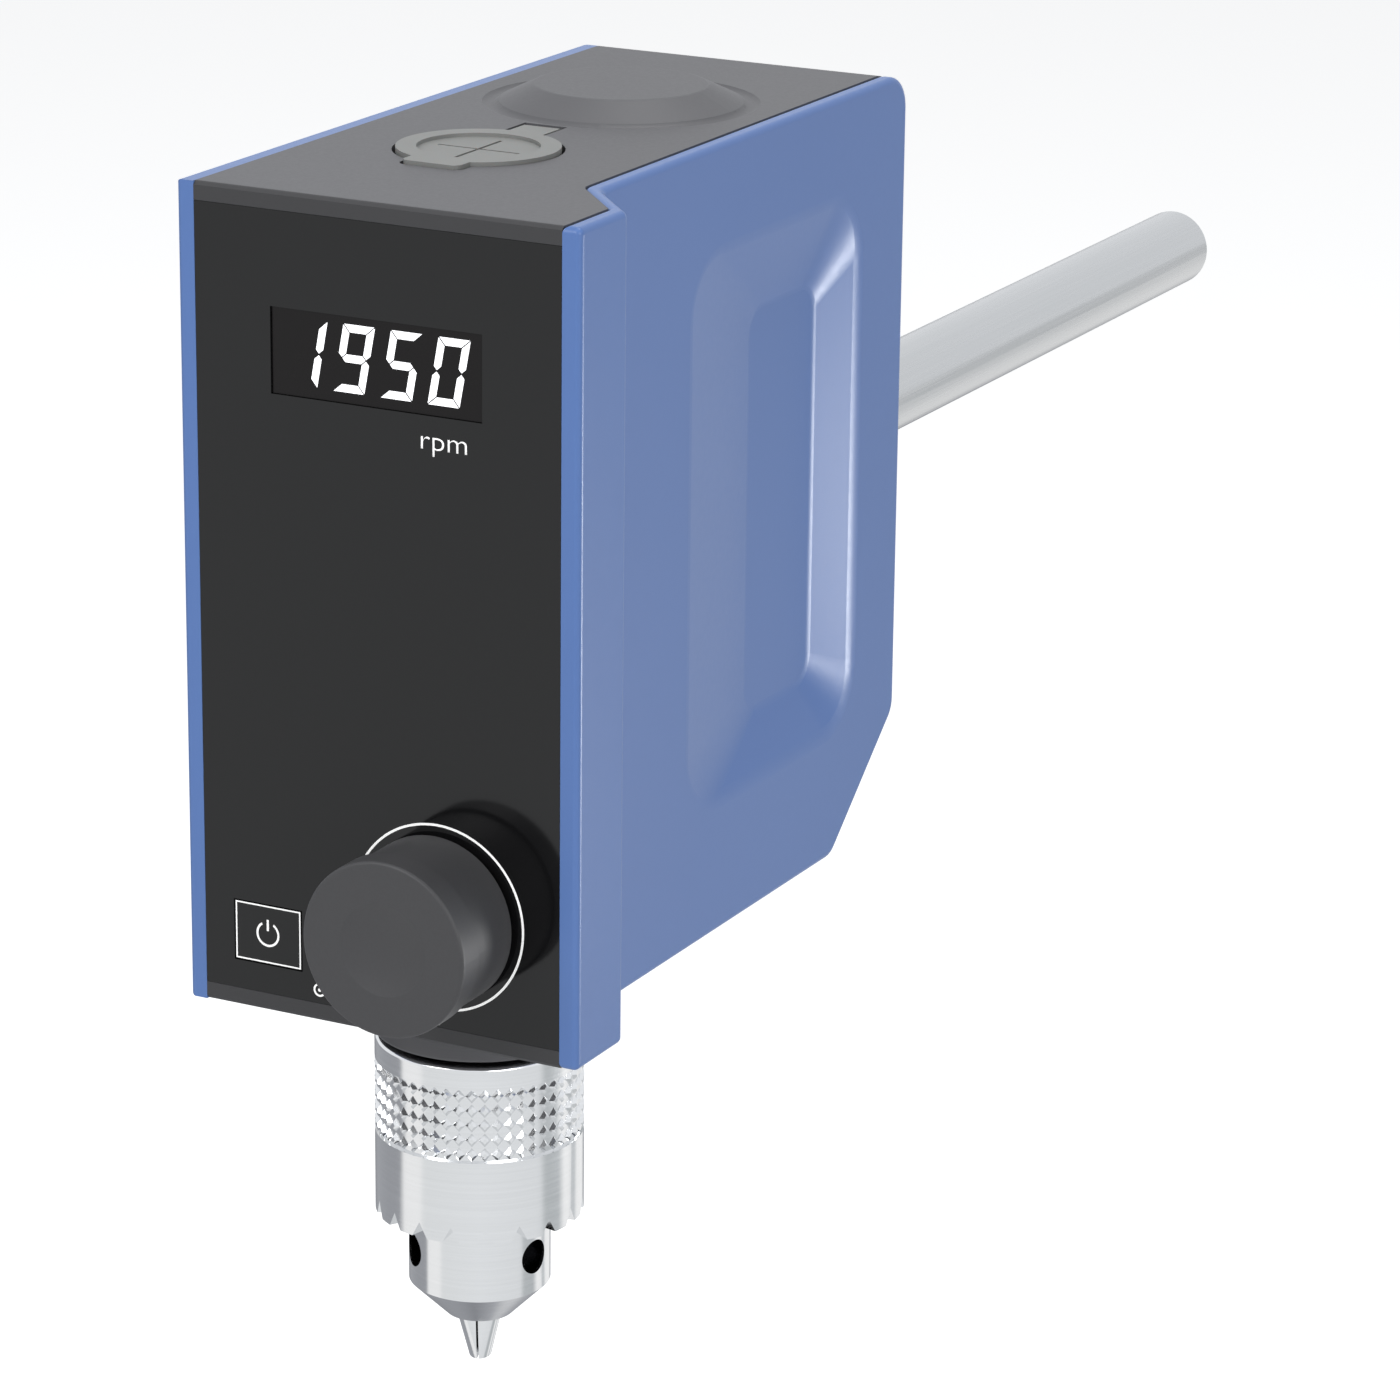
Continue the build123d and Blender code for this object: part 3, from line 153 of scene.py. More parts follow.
paper, tree = start("white_paper_sweep")
rays = add(tree, "ShaderNodeLightPath")
surface = add(tree, "ShaderNodeBsdfDiffuse", values={"Color": linear("#F2F2F2")})
glow = add(tree, "ShaderNodeEmission", values={"Color": linear("#FFFFFF"), "Strength": 0.55})
both = add(tree, "ShaderNodeAddShader", links={0: surface.outputs[0], 1: glow.outputs[0]})
shown = add(tree, "ShaderNodeMixShader",
            links={0: rays.outputs["Is Camera Ray"], 1: surface.outputs[0], 2: both.outputs[0]})
mirrored = add(tree, "ShaderNodeEmission", links={"Color": walls(tree).outputs["Color"]})
laid = add(tree, "ShaderNodeMixShader",
           links={0: rays.outputs["Is Glossy Ray"], 1: shown.outputs[0], 2: mirrored.outputs[0]})
add(tree, "ShaderNodeOutputMaterial", links={"Surface": laid.outputs[0]})
sheet_radius, sheet_height = 14, -0.30
sheet = bmesh.new()
bmesh.ops.create_circle(sheet, cap_ends=True, segments=96, radius=sheet_radius,
                        matrix=Matrix.Translation((0, 0, sheet_height)))
floor = bpy.data.objects.new("floor", bpy.data.meshes.new("floor"))
sheet.to_mesh(floor.data)
sheet.free()
floor.data.materials.append(paper)
scene.collection.objects.link(floor)

# ------------------------------------------------------------------ core housing
# One moulding makes the top with its low dome, the front frame, the back and the floor.
# The turned boss that carries the spindle's lower bearing is let into the floor.
grey, tree = start("moulded_abs_grey")
# eroded mould surface: dull, with a grain of half a millimetre and the faintest cloudiness,
# and painted shade: the front frame's faces made darker, as the front gets less light than the top
place = add(tree, "ShaderNodeTexCoord")
grain = add(tree, "ShaderNodeTexNoise", values={"Scale": 1 / (0.5 * MM), "Detail": 3.0, "Roughness": 0.6},
            links={"Vector": place.outputs["Object"]})
cloud = add(tree, "ShaderNodeTexNoise", values={"Scale": 1 / (30 * MM), "Detail": 2.0},
            links={"Vector": place.outputs["Object"]})
body_tone = add(tree, "ShaderNodeMix", {"data_type": "RGBA"},
                {6: linear("#545457"), 7: linear("#58585B")}, {0: cloud.outputs["Fac"]})
depth = add(tree, "ShaderNodeSeparateXYZ", links={"Vector": place.outputs["Object"]})
# painted shade: forward of the panel's line the front frame's faces turn dark grey, as if less lit
frame_shade_begins, frame_shade_full = -35.3 * MM, -36.1 * MM
frame_shade_share = add(tree, "ShaderNodeMapRange", values={"From Min": frame_shade_begins, "From Max": frame_shade_full},
                  links={"Value": depth.outputs["Y"]})
tone = add(tree, "ShaderNodeMix", {"data_type": "RGBA"}, {7: linear("#303032")},
           {0: frame_shade_share.outputs[0], 6: body_tone.outputs[2]})
dull = add(tree, "ShaderNodeMapRange", values={"To Min": 0.46, "To Max": 0.58},
           links={"Value": grain.outputs["Fac"]})
bump = add(tree, "ShaderNodeBump", values={"Strength": 0.25, "Distance": 0.03 * MM},
           links={"Height": grain.outputs["Fac"]})
skin = add(tree, "ShaderNodeBsdfPrincipled", values={"IOR": 1.5},
           links={"Base Color": tone.outputs[2], "Roughness": dull.outputs[0], "Normal": bump.outputs[0]})
add(tree, "ShaderNodeOutputMaterial", links={"Surface": skin.outputs[0]})
dress(grey, "core_housing")

boss_grey, tree = start("turned_aluminium_painted_shade")
# very fine rings from the lathe, under a dull grey-black tone that is painted shade for the shadow below
# the housing
place = add(tree, "ShaderNodeTexCoord")
ringed = add(tree, "ShaderNodeMapping", values={"Scale": (60.0, 60.0, 1 / (0.2 * MM))},
             links={"Vector": place.outputs["Object"]})
rings = add(tree, "ShaderNodeTexNoise", values={"Scale": 1.0, "Detail": 2.0},
            links={"Vector": ringed.outputs[0]})
# painted shade: the grey-black tone, darker than the housing's grey, stands in for the shadow it sits in
tone = add(tree, "ShaderNodeMix", {"data_type": "RGBA"},
           {6: linear("#4A4A4D"), 7: linear("#535356")}, {0: rings.outputs["Fac"]})
dull = add(tree, "ShaderNodeMapRange", values={"To Min": 0.38, "To Max": 0.52},
           links={"Value": rings.outputs["Fac"]})
skin = add(tree, "ShaderNodeBsdfPrincipled", values={"IOR": 1.5},
           links={"Base Color": tone.outputs[2], "Roughness": dull.outputs[0]})
add(tree, "ShaderNodeOutputMaterial", links={"Surface": skin.outputs[0]})
dress(boss_grey, "spindle_boss")

# ------------------------------------------------------------------ drive chassis and motor
# A milled aluminium plate on four posts holds the upper bearing and the can of the motor.
# Two toothed pulleys and a rubber belt bring the turning to the hollow spindle.
milled, tree = start("milled_aluminium")
# pale satin metal with straight cutter marks a third of a millimetre apart
place = add(tree, "ShaderNodeTexCoord")
drawn_out = add(tree, "ShaderNodeMapping", values={"Scale": (1 / (0.35 * MM), 40.0, 40.0)},
                links={"Vector": place.outputs["Object"]})
marks = add(tree, "ShaderNodeTexNoise", values={"Scale": 1.0, "Detail": 2.0},
            links={"Vector": drawn_out.outputs[0]})
tone = add(tree, "ShaderNodeMix", {"data_type": "RGBA"},
           {6: linear("#B0B2B5"), 7: linear("#C2C4C6")}, {0: marks.outputs["Fac"]})
dull = add(tree, "ShaderNodeMapRange", values={"To Min": 0.32, "To Max": 0.46},
           links={"Value": marks.outputs["Fac"]})
bump = add(tree, "ShaderNodeBump", values={"Strength": 0.1, "Distance": 0.02 * MM},
           links={"Height": marks.outputs["Fac"]})
skin = add(tree, "ShaderNodeBsdfPrincipled", values={"Metallic": 1.0},
           links={"Base Color": tone.outputs[2], "Roughness": dull.outputs[0], "Normal": bump.outputs[0]})
add(tree, "ShaderNodeOutputMaterial", links={"Surface": skin.outputs[0]})
dress(milled, "drive_chassis", "driven_pulley", "motor_pulley", "arm_socket")

enamel, tree = start("stoved_enamel_black")
# deep black with the pebbled skin of a stoved coat, pebbles about 0.8 mm
place = add(tree, "ShaderNodeTexCoord")
pebble = add(tree, "ShaderNodeTexVoronoi", values={"Scale": 1 / (0.8 * MM)},
             links={"Vector": place.outputs["Object"]})
tone = add(tree, "ShaderNodeMix", {"data_type": "RGBA"},
           {6: linear("#232326"), 7: linear("#2E2E31")}, {0: pebble.outputs["Distance"]})
bump = add(tree, "ShaderNodeBump", values={"Strength": 0.2, "Distance": 0.03 * MM},
           links={"Height": pebble.outputs["Distance"]})
skin = add(tree, "ShaderNodeBsdfPrincipled", values={"IOR": 1.5, "Roughness": 0.35},
           links={"Base Color": tone.outputs[2], "Normal": bump.outputs[0]})
add(tree, "ShaderNodeOutputMaterial", links={"Surface": skin.outputs[0]})
dress(enamel, "motor_can")

rubber, tree = start("moulded_nitrile_rubber")
# soot black and dull, with a bloom that greys it in patches of a few millimetres
place = add(tree, "ShaderNodeTexCoord")
bloom = add(tree, "ShaderNodeTexNoise", values={"Scale": 1 / (3 * MM), "Detail": 3.0},
            links={"Vector": place.outputs["Object"]})
tone = add(tree, "ShaderNodeMix", {"data_type": "RGBA"},
           {6: linear("#1D1D1F"), 7: linear("#2A2A2C")}, {0: bloom.outputs["Fac"]})
skin = add(tree, "ShaderNodeBsdfPrincipled", values={"IOR": 1.5, "Roughness": 0.78},
           links={"Base Color": tone.outputs[2]})
add(tree, "ShaderNodeOutputMaterial", links={"Surface": skin.outputs[0]})
dress(rubber, "drive_belt", "spindle_seal")

zinc, tree = start("zinc_plated_steel")
# bright plating with a bluish cast, clouded over a millimetre or two
place = add(tree, "ShaderNodeTexCoord")
cloud = add(tree, "ShaderNodeTexNoise", values={"Scale": 1 / (1.5 * MM), "Detail": 3.0},
            links={"Vector": place.outputs["Object"]})
tone = add(tree, "ShaderNodeMix", {"data_type": "RGBA"},
           {6: linear("#A4A8AD"), 7: linear("#BDC0C3")}, {0: cloud.outputs["Fac"]})
dull = add(tree, "ShaderNodeMapRange", values={"To Min": 0.22, "To Max": 0.36},
           links={"Value": cloud.outputs["Fac"]})
skin = add(tree, "ShaderNodeBsdfPrincipled", values={"Metallic": 1.0},
           links={"Base Color": tone.outputs[2], "Roughness": dull.outputs[0]})
add(tree, "ShaderNodeOutputMaterial", links={"Surface": skin.outputs[0]})
dress(zinc, "chassis_screws", "motor_screws", "board_screws", "shell_screws", "retaining_ring",
      "arm_grub_screw")

# ------------------------------------------------------------------ spindle and bearings
# A ground steel tube turns in two deep groove ball bearings and a bronze bush at the top.
ground, tree = start("ground_bearing_steel")
# near mirror, with grinding lines a tenth of a millimetre apart that run round the axis
place = add(tree, "ShaderNodeTexCoord")
ringed = add(tree, "ShaderNodeMapping", values={"Scale": (40.0, 40.0, 1 / (0.1 * MM))},
             links={"Vector": place.outputs["Object"]})
lines = add(tree, "ShaderNodeTexNoise", values={"Scale": 1.0, "Detail": 2.0},
            links={"Vector": ringed.outputs[0]})
tone = add(tree, "ShaderNodeMix", {"data_type": "RGBA"},
           {6: linear("#C4C5C7"), 7: linear("#D4D5D6")}, {0: lines.outputs["Fac"]})
dull = add(tree, "ShaderNodeMapRange", values={"To Min": 0.14, "To Max": 0.26},
           links={"Value": lines.outputs["Fac"]})
skin = add(tree, "ShaderNodeBsdfPrincipled", values={"Metallic": 1.0},
           links={"Base Color": tone.outputs[2], "Roughness": dull.outputs[0]})
add(tree, "ShaderNodeOutputMaterial", links={"Surface": skin.outputs[0]})
dress(ground, "hollow_spindle", "motor_shaft", "lower_bearing_outer_ring", "lower_bearing_inner_ring",
      "lower_bearing_balls", "upper_bearing_outer_ring", "upper_bearing_inner_ring", "upper_bearing_balls",
      "encoder_body", "encoder_push_plate", "encoder_shaft")

bronze, tree = start("sintered_bronze")
# brown gold and open grained, its pores about a quarter of a millimetre
place = add(tree, "ShaderNodeTexCoord")
pores = add(tree, "ShaderNodeTexVoronoi", values={"Scale": 1 / (0.25 * MM)},
            links={"Vector": place.outputs["Object"]})
tone = add(tree, "ShaderNodeMix", {"data_type": "RGBA"},
           {6: linear("#7E5E30"), 7: linear("#B48D50")}, {0: pores.outputs["Distance"]})
bump = add(tree, "ShaderNodeBump", values={"Strength": 0.4, "Distance": 0.02 * MM},
           links={"Height": pores.outputs["Distance"]})
skin = add(tree, "ShaderNodeBsdfPrincipled", values={"Metallic": 1.0, "Roughness": 0.5},
           links={"Base Color": tone.outputs[2], "Normal": bump.outputs[0]})
add(tree, "ShaderNodeOutputMaterial", links={"Surface": skin.outputs[0]})
dress(bronze, "top_bush")

# ------------------------------------------------------------------ circuit board
# Glass fibre board on four standoffs, with the power switch and the socket at the back
# moulded in black plastic.
board_green, tree = start("solder_masked_glass_fibre")
# green lacquer over copper: lighter where a conductor lies under it, conductors 1.2 mm apart
place = add(tree, "ShaderNodeTexCoord")
squared = add(tree, "ShaderNodeTexBrick", {"offset": 0.5, "squash": 1.0},
              {"Scale": 1 / (6 * MM), "Mortar Size": 0.06, "Color1": linear("#14482B"),
               "Color2": linear("#175231"), "Mortar": linear("#2A7A4A")})
flat = add(tree, "ShaderNodeMapping", values={"Rotation": (pi / 2, 0, 0)},
           links={"Vector": place.outputs["Object"]})
tree.links.new(flat.outputs[0], squared.inputs["Vector"])
bump = add(tree, "ShaderNodeBump", values={"Strength": 0.3, "Distance": 0.035 * MM},
           links={"Height": squared.outputs["Fac"]})
skin = add(tree, "ShaderNodeBsdfPrincipled", values={"IOR": 1.52, "Roughness": 0.3},
           links={"Base Color": squared.outputs["Color"], "Normal": bump.outputs[0]})
add(tree, "ShaderNodeOutputMaterial", links={"Surface": skin.outputs[0]})
dress(board_green, "circuit_board")

black_plastic, tree = start("moulded_polyamide_black")
# half dull black with the fine grain of a moulded connector, grain 0.3 mm
place = add(tree, "ShaderNodeTexCoord")
grain = add(tree, "ShaderNodeTexNoise", values={"Scale": 1 / (0.3 * MM), "Detail": 2.0},
            links={"Vector": place.outputs["Object"]})
tone = add(tree, "ShaderNodeMix", {"data_type": "RGBA"},
           {6: linear("#1C1C1F"), 7: linear("#252528")}, {0: grain.outputs["Fac"]})
bump = add(tree, "ShaderNodeBump", values={"Strength": 0.2, "Distance": 0.02 * MM},
           links={"Height": grain.outputs["Fac"]})
skin = add(tree, "ShaderNodeBsdfPrincipled", values={"IOR": 1.53, "Roughness": 0.45},
           links={"Base Color": tone.outputs[2], "Normal": bump.outputs[0]})
add(tree, "ShaderNodeOutputMaterial", links={"Surface": skin.outputs[0]})
dress(black_plastic, "power_switch", "power_inlet")

# ------------------------------------------------------------------ front panel
# A black acrylic plate let into the housing's front, with a smoked window over the display.
acrylic, tree = start("polished_acrylic_black")
# deep gloss: it mirrors the knob, with the faintest waviness over about a centimetre
place = add(tree, "ShaderNodeTexCoord")
wave = add(tree, "ShaderNodeTexNoise", values={"Scale": 1 / (9 * MM), "Detail": 1.0},
           links={"Vector": place.outputs["Object"]})
dull = add(tree, "ShaderNodeMapRange", values={"To Min": 0.07, "To Max": 0.11},
           links={"Value": wave.outputs["Fac"]})
bump = add(tree, "ShaderNodeBump", values={"Strength": 0.02, "Distance": 0.1 * MM},
           links={"Height": wave.outputs["Fac"]})
skin = add(tree, "ShaderNodeBsdfPrincipled",
           values={"Base Color": linear("#121213"), "IOR": 1.49, "Specular IOR Level": 0.42},
           links={"Roughness": dull.outputs[0], "Normal": bump.outputs[0]})
add(tree, "ShaderNodeOutputMaterial", links={"Surface": skin.outputs[0]})
dress(acrylic, "front_panel", "power_key")

smoked, tree = start("smoked_acrylic_window")
# darker than the panel around it and a little hazed, so it mirrors less
place = add(tree, "ShaderNodeTexCoord")
haze = add(tree, "ShaderNodeTexNoise", values={"Scale": 1 / (2 * MM)},
           links={"Vector": place.outputs["Object"]})
dull = add(tree, "ShaderNodeMapRange", values={"To Min": 0.22, "To Max": 0.30},
           links={"Value": haze.outputs["Fac"]})
skin = add(tree, "ShaderNodeBsdfPrincipled",
           values={"Base Color": linear("#0D0A0B"), "IOR": 1.45, "Specular IOR Level": 0.3},
           links={"Roughness": dull.outputs[0]})
add(tree, "ShaderNodeOutputMaterial", links={"Surface": skin.outputs[0]})
dress(smoked, "display_window", "digit_display")


def rides(name, shape, material, body):
    """Makes a finished bmesh an object that goes with a body of the stirrer."""
    bmesh.ops.recalc_face_normals(shape, faces=shape.faces)
    thing = bpy.data.objects.new(name, bpy.data.meshes.new(name))
    shape.to_mesh(thing.data)
    shape.free()
    thing.data.materials.append(material)
    scene.collection.objects.link(thing)
    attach(thing, body)


def print_thick(shape, thickness):
    """Gives flat shapes in an upright plane the thickness of their layer, towards the front."""
    grown = bmesh.ops.extrude_face_region(shape, geom=shape.faces[:], use_keep_orig=True)
    corners = [part for part in grown["geom"] if isinstance(part, bmesh.types.BMVert)]
    bmesh.ops.translate(shape, verts=corners, vec=(0, -thickness, 0))


# ------------------------------------------------------------------ lit digits
# Four seven-segment figures behind the window, all strokes mitred and leaning to the right.
lit, tree = start("light_emitting_diode_white")
# even cool white light through a milky diffuser
place = add(tree, "ShaderNodeTexCoord")
milky = add(tree, "ShaderNodeTexNoise", values={"Scale": 1 / (1.5 * MM)},
            links={"Vector": place.outputs["Object"]})
tone = add(tree, "ShaderNodeMix", {"data_type": "RGBA"},
           {6: linear("#F4F6FA"), 7: linear("#FFFFFF")}, {0: milky.outputs["Fac"]})
skin = add(tree, "ShaderNodeBsdfPrincipled", values={"Roughness": 0.5, "Emission Strength": 0.75},
           links={"Base Color": tone.outputs[2], "Emission Color": tone.outputs[2]})
add(tree, "ShaderNodeOutputMaterial", links={"Surface": skin.outputs[0]})

cell_width, cell_height, stroke, mitre_gap = 4.7 * MM, 9.1 * MM, 1.05 * MM, 0.16 * MM
digit_lean = radians(10.5)
digit_foot, window_front, digit_proud = 87.7 * MM, -36.1 * MM, 0.05 * MM
middle, far_side, half_stroke = cell_height / 2, cell_width - stroke, stroke / 2
mid_left, mid_right = (half_stroke, middle), (cell_width - half_stroke, middle)
# left, right, low and high side of each stroke, then its cuts: a point and the side that goes
strokes = {
    "a": ((0, cell_width, cell_height - stroke, cell_height),
          ((0, cell_height, -1, -1), (cell_width, cell_height, 1, -1))),
    "b": ((far_side, cell_width, middle, cell_height),
          ((cell_width, cell_height, -1, 1), (*mid_right, -1, -1), (*mid_right, 1, -1))),
    "c": ((far_side, cell_width, 0, middle),
          ((cell_width, 0, -1, -1), (*mid_right, -1, 1), (*mid_right, 1, 1))),
    "d": ((0, cell_width, 0, stroke), ((0, 0, -1, 1), (cell_width, 0, 1, 1))),
    "e": ((0, stroke, 0, middle), ((0, 0, 1, -1), (*mid_left, -1, 1), (*mid_left, 1, 1))),
    "f": ((0, stroke, middle, cell_height),
          ((0, cell_height, 1, 1), (*mid_left, -1, -1), (*mid_left, 1, -1))),
    "g": ((0, cell_width, middle - half_stroke, middle + half_stroke),
          ((*mid_left, -1, 1), (*mid_left, -1, -1), (*mid_right, 1, 1), (*mid_right, 1, -1))),
}
upright = Matrix.Rotation(pi / 2, 4, "X")
figures = bmesh.new()
scratch = bpy.data.meshes.new("scratch")
# where each figure starts from the middle of the housing, in mm, and its lit strokes
for left, letters in ((-8.3, "bc"), (-1.2, "abcdfg"), (5.9, "acdfg"), (12.95, "abcdef")):
    for letter in letters:
        (x0, x1, z0, z1), cuts = strokes[letter]
        bar = bmesh.new()
        bmesh.ops.create_grid(
            bar, x_segments=1, y_segments=1, size=0.5,
            matrix=Matrix.Translation(((x0 + x1) / 2, 0, (z0 + z1) / 2)) @ upright
            @ Matrix.Diagonal((x1 - x0, z1 - z0, 1, 1)),
        )
        for x, z, out_x, out_z in cuts:
            away = Vector((out_x, 0, out_z)).normalized()
            bmesh.ops.bisect_plane(
                bar, geom=bar.verts[:] + bar.edges[:] + bar.faces[:], clear_outer=True,
                plane_co=Vector((x, 0, z)) - away * mitre_gap / 2, plane_no=away,
            )
        bmesh.ops.transform(bar, verts=bar.verts, matrix=Matrix.Translation((left * MM, 0, 0)))
        bar.to_mesh(scratch)
        bar.free()
        figures.from_mesh(scratch)
bpy.data.meshes.remove(scratch)
lean = Matrix(((1, 0, tan(digit_lean), 0), (0, 1, 0, 0), (0, 0, 1, 0), (0, 0, 0, 1)))
bmesh.ops.transform(figures, verts=figures.verts,
                    matrix=Matrix.Translation((0, window_front, digit_foot)) @ lean)
print_thick(figures, digit_proud)
rides("display_digits", figures, lit, "housing")

# ------------------------------------------------------------------ printed marks
# White screen print: the unit under the window, a ring round the knob and a small sign that
# the knob can be pushed. The place above the window is left bare.
ink, tree = start("screen_printed_ink_white")
# flat opaque white with a trace of the screen's mesh in it, threads 0.25 mm apart, and a faint painted glow
# that keeps the print bright
place = add(tree, "ShaderNodeTexCoord")
mesh_trace = add(tree, "ShaderNodeTexNoise", values={"Scale": 1 / (0.25 * MM)},
                 links={"Vector": place.outputs["Object"]})
tone = add(tree, "ShaderNodeMix", {"data_type": "RGBA"},
           {6: linear("#F0F0EE"), 7: linear("#FFFFFF")}, {0: mesh_trace.outputs["Fac"]})
# painted light: the ink glows a little although it is no lamp
skin = add(tree, "ShaderNodeBsdfPrincipled", values={"Roughness": 0.6, "Emission Strength": 0.30},
           links={"Base Color": tone.outputs[2], "Emission Color": tone.outputs[2]})
add(tree, "ShaderNodeOutputMaterial", links={"Surface": skin.outputs[0]})

panel_front, ink_height = -36.4 * MM, 0.03 * MM
unit_left, unit_right, unit_low, unit_high = 12.1 * MM, 18.9 * MM, 80.9 * MM, 83.45 * MM
words = bpy.data.objects.new("words", bpy.data.curves.new("words", "FONT"))
words.data.body = "rpm"
words.data.fill_mode = "BOTH"
words.data.resolution_u = 6
words.data.offset = -0.012
scene.collection.objects.link(words)
bpy.context.view_layer.update()
letters = bpy.data.meshes.new_from_object(words.evaluated_get(bpy.context.evaluated_depsgraph_get()))
bpy.data.objects.remove(words)
unit = bmesh.new()
unit.from_mesh(letters)
bmesh.ops.remove_doubles(unit, verts=unit.verts, dist=1e-5)
across, high = [v.co.x for v in unit.verts], [v.co.y for v in unit.verts]
wide, tall = max(across) - min(across), max(high) - min(high)
bmesh.ops.transform(
    unit, verts=unit.verts,
    matrix=Matrix.Translation((unit_left, panel_front, unit_low)) @ upright
    @ Matrix.Diagonal(((unit_right - unit_left) / wide, (unit_high - unit_low) / tall, 1, 1))
    @ Matrix.Translation((-min(across), -min(high), 0)),
)
print_thick(unit, ink_height)
rides("printed_unit", unit, ink, "housing")


def printed_ring(shape, x, z, inner, outer, from_turn, turn, steps):
    """Draws a flat ring or an arc of one in the panel's plane, from a turn counted from the right."""
    across, up = cos(radians(from_turn)), sin(radians(from_turn))
    start_line = [
        shape.verts.new((x + radius * across, panel_front, z + radius * up)) for radius in (inner, outer)
    ]
    edge = shape.edges.new(start_line)
    bmesh.ops.spin(shape, geom=start_line + [edge], cent=(x, panel_front, z), axis=(0, -1, 0),
                   angle=radians(turn), steps=steps, use_merge=turn == 360)


knob_x, knob_z, ring_inner, ring_outer = 14.35 * MM, 18.0 * MM, 12.73 * MM, 13.05 * MM
ring = bmesh.new()
printed_ring(ring, knob_x, knob_z, ring_inner, ring_outer, 0, 360, 128)
print_thick(ring, ink_height)
rides("printed_knob_ring", ring, ink, "housing")

sign_x, sign_z, sign_inner, sign_outer = -4.0 * MM, 4.45 * MM, 0.68 * MM, 0.95 * MM
dot_hole, dot_outer = 0.02 * MM, 0.24 * MM
sign = bmesh.new()
printed_ring(sign, sign_x, sign_z, sign_inner, sign_outer, 35, 290, 40)
printed_ring(sign, sign_x, sign_z, dot_hole, dot_outer, 0, 360, 16)
print_thick(sign, ink_height)
rides("printed_push_sign", sign, ink, "housing")

# ------------------------------------------------------------------ power key
# A soft key under the panel's skin: its outline and its sign are printed on it and move with it.
key_left, key_right, key_low, key_high = -17.08 * MM, -6.9 * MM, 6.85 * MM, 15.03 * MM
outline_width = 0.2 * MM
outline = bmesh.new()
bmesh.ops.create_grid(
    outline, x_segments=1, y_segments=1, size=0.5,
    matrix=Matrix.Translation(((key_left + key_right) / 2, panel_front, (key_low + key_high) / 2))
    @ upright @ Matrix.Diagonal((key_right - key_left, key_high - key_low, 1, 1)),
)
field = outline.faces[:]
bmesh.ops.inset_region(outline, faces=field, thickness=outline_width, use_even_offset=True,
                       use_boundary=True)
bmesh.ops.delete(outline, geom=field, context="FACES_ONLY")
print_thick(outline, ink_height)
rides("printed_key_outline", outline, ink, "key")

power_x, power_z, power_inner, power_outer = -12.05 * MM, 11.0 * MM, 1.5 * MM, 1.8 * MM
bar_middle, bar_width, bar_length = 12.25 * MM, 0.32 * MM, 1.6 * MM
power = bmesh.new()
printed_ring(power, power_x, power_z, power_inner, power_outer, 122, 296, 48)
bmesh.ops.create_grid(
    power, x_segments=1, y_segments=1, size=0.5,
    matrix=Matrix.Translation((power_x, panel_front, bar_middle)) @ upright
    @ Matrix.Diagonal((bar_width, bar_length, 1, 1)),
)
print_thick(power, ink_height)
rides("printed_power_sign", power, ink, "key")

# ------------------------------------------------------------------ speed knob
# Two moulded rings on the encoder's shaft, with a shallow finger dish in the front one.
soft_touch, tree = start("soft_touch_moulded_dark_grey")
# velvety: a wide dull sheen and a fine even grain of a third of a millimetre
place = add(tree, "ShaderNodeTexCoord")
grain = add(tree, "ShaderNodeTexNoise", values={"Scale": 1 / (0.35 * MM), "Detail": 2.0},
            links={"Vector": place.outputs["Object"]})
tone = add(tree, "ShaderNodeMix", {"data_type": "RGBA"},
           {6: linear("#3B3B3D"), 7: linear("#404042")}, {0: grain.outputs["Fac"]})
bump = add(tree, "ShaderNodeBump", values={"Strength": 0.15, "Distance": 0.02 * MM},
           links={"Height": grain.outputs["Fac"]})
skin = add(tree, "ShaderNodeBsdfPrincipled", values={"IOR": 1.45, "Roughness": 0.5, "Sheen Weight": 0.04},
           links={"Base Color": tone.outputs[2], "Normal": bump.outputs[0]})
add(tree, "ShaderNodeOutputMaterial", links={"Surface": skin.outputs[0]})
dress(soft_touch, "speed_knob", "knob_cap")

# ------------------------------------------------------------------ side shells
# Two cast aluminium covers, powder coated blue. The right one carries the front flange, the
# slanted step and the finger recess. Four screws pull the two together from the left.
coated, tree = start("powder_coated_aluminium_blue")
# satin coat with orange peel about a millimetre across and a slight drift of its shade
place = add(tree, "ShaderNodeTexCoord")
peel = add(tree, "ShaderNodeTexNoise", values={"Scale": 1 / (1.0 * MM), "Detail": 2.0},
           links={"Vector": place.outputs["Object"]})
drift = add(tree, "ShaderNodeTexNoise", values={"Scale": 1 / (40 * MM), "Detail": 1.0},
            links={"Vector": place.outputs["Object"]})
tone = add(tree, "ShaderNodeMix", {"data_type": "RGBA"},
           {6: linear("#5877B1"), 7: linear("#5C7BB5")}, {0: drift.outputs["Fac"]})
dull = add(tree, "ShaderNodeMapRange", values={"To Min": 0.28, "To Max": 0.36},
           links={"Value": peel.outputs["Fac"]})
bump = add(tree, "ShaderNodeBump", values={"Strength": 0.08, "Distance": 0.03 * MM},
           links={"Height": peel.outputs["Fac"]})
skin = add(tree, "ShaderNodeBsdfPrincipled", values={"IOR": 1.5, "Specular IOR Level": 0.3},
           links={"Base Color": tone.outputs[2], "Roughness": dull.outputs[0], "Normal": bump.outputs[0]})
add(tree, "ShaderNodeOutputMaterial", links={"Surface": skin.outputs[0]})
dress(coated, "left_side_shell", "right_side_shell")

# ------------------------------------------------------------------ shaft cap
# A soft cap over the spindle's end, moulded with its finger tab and the strap it hinges on.
elastomer, tree = start("moulded_elastomer_light_grey")
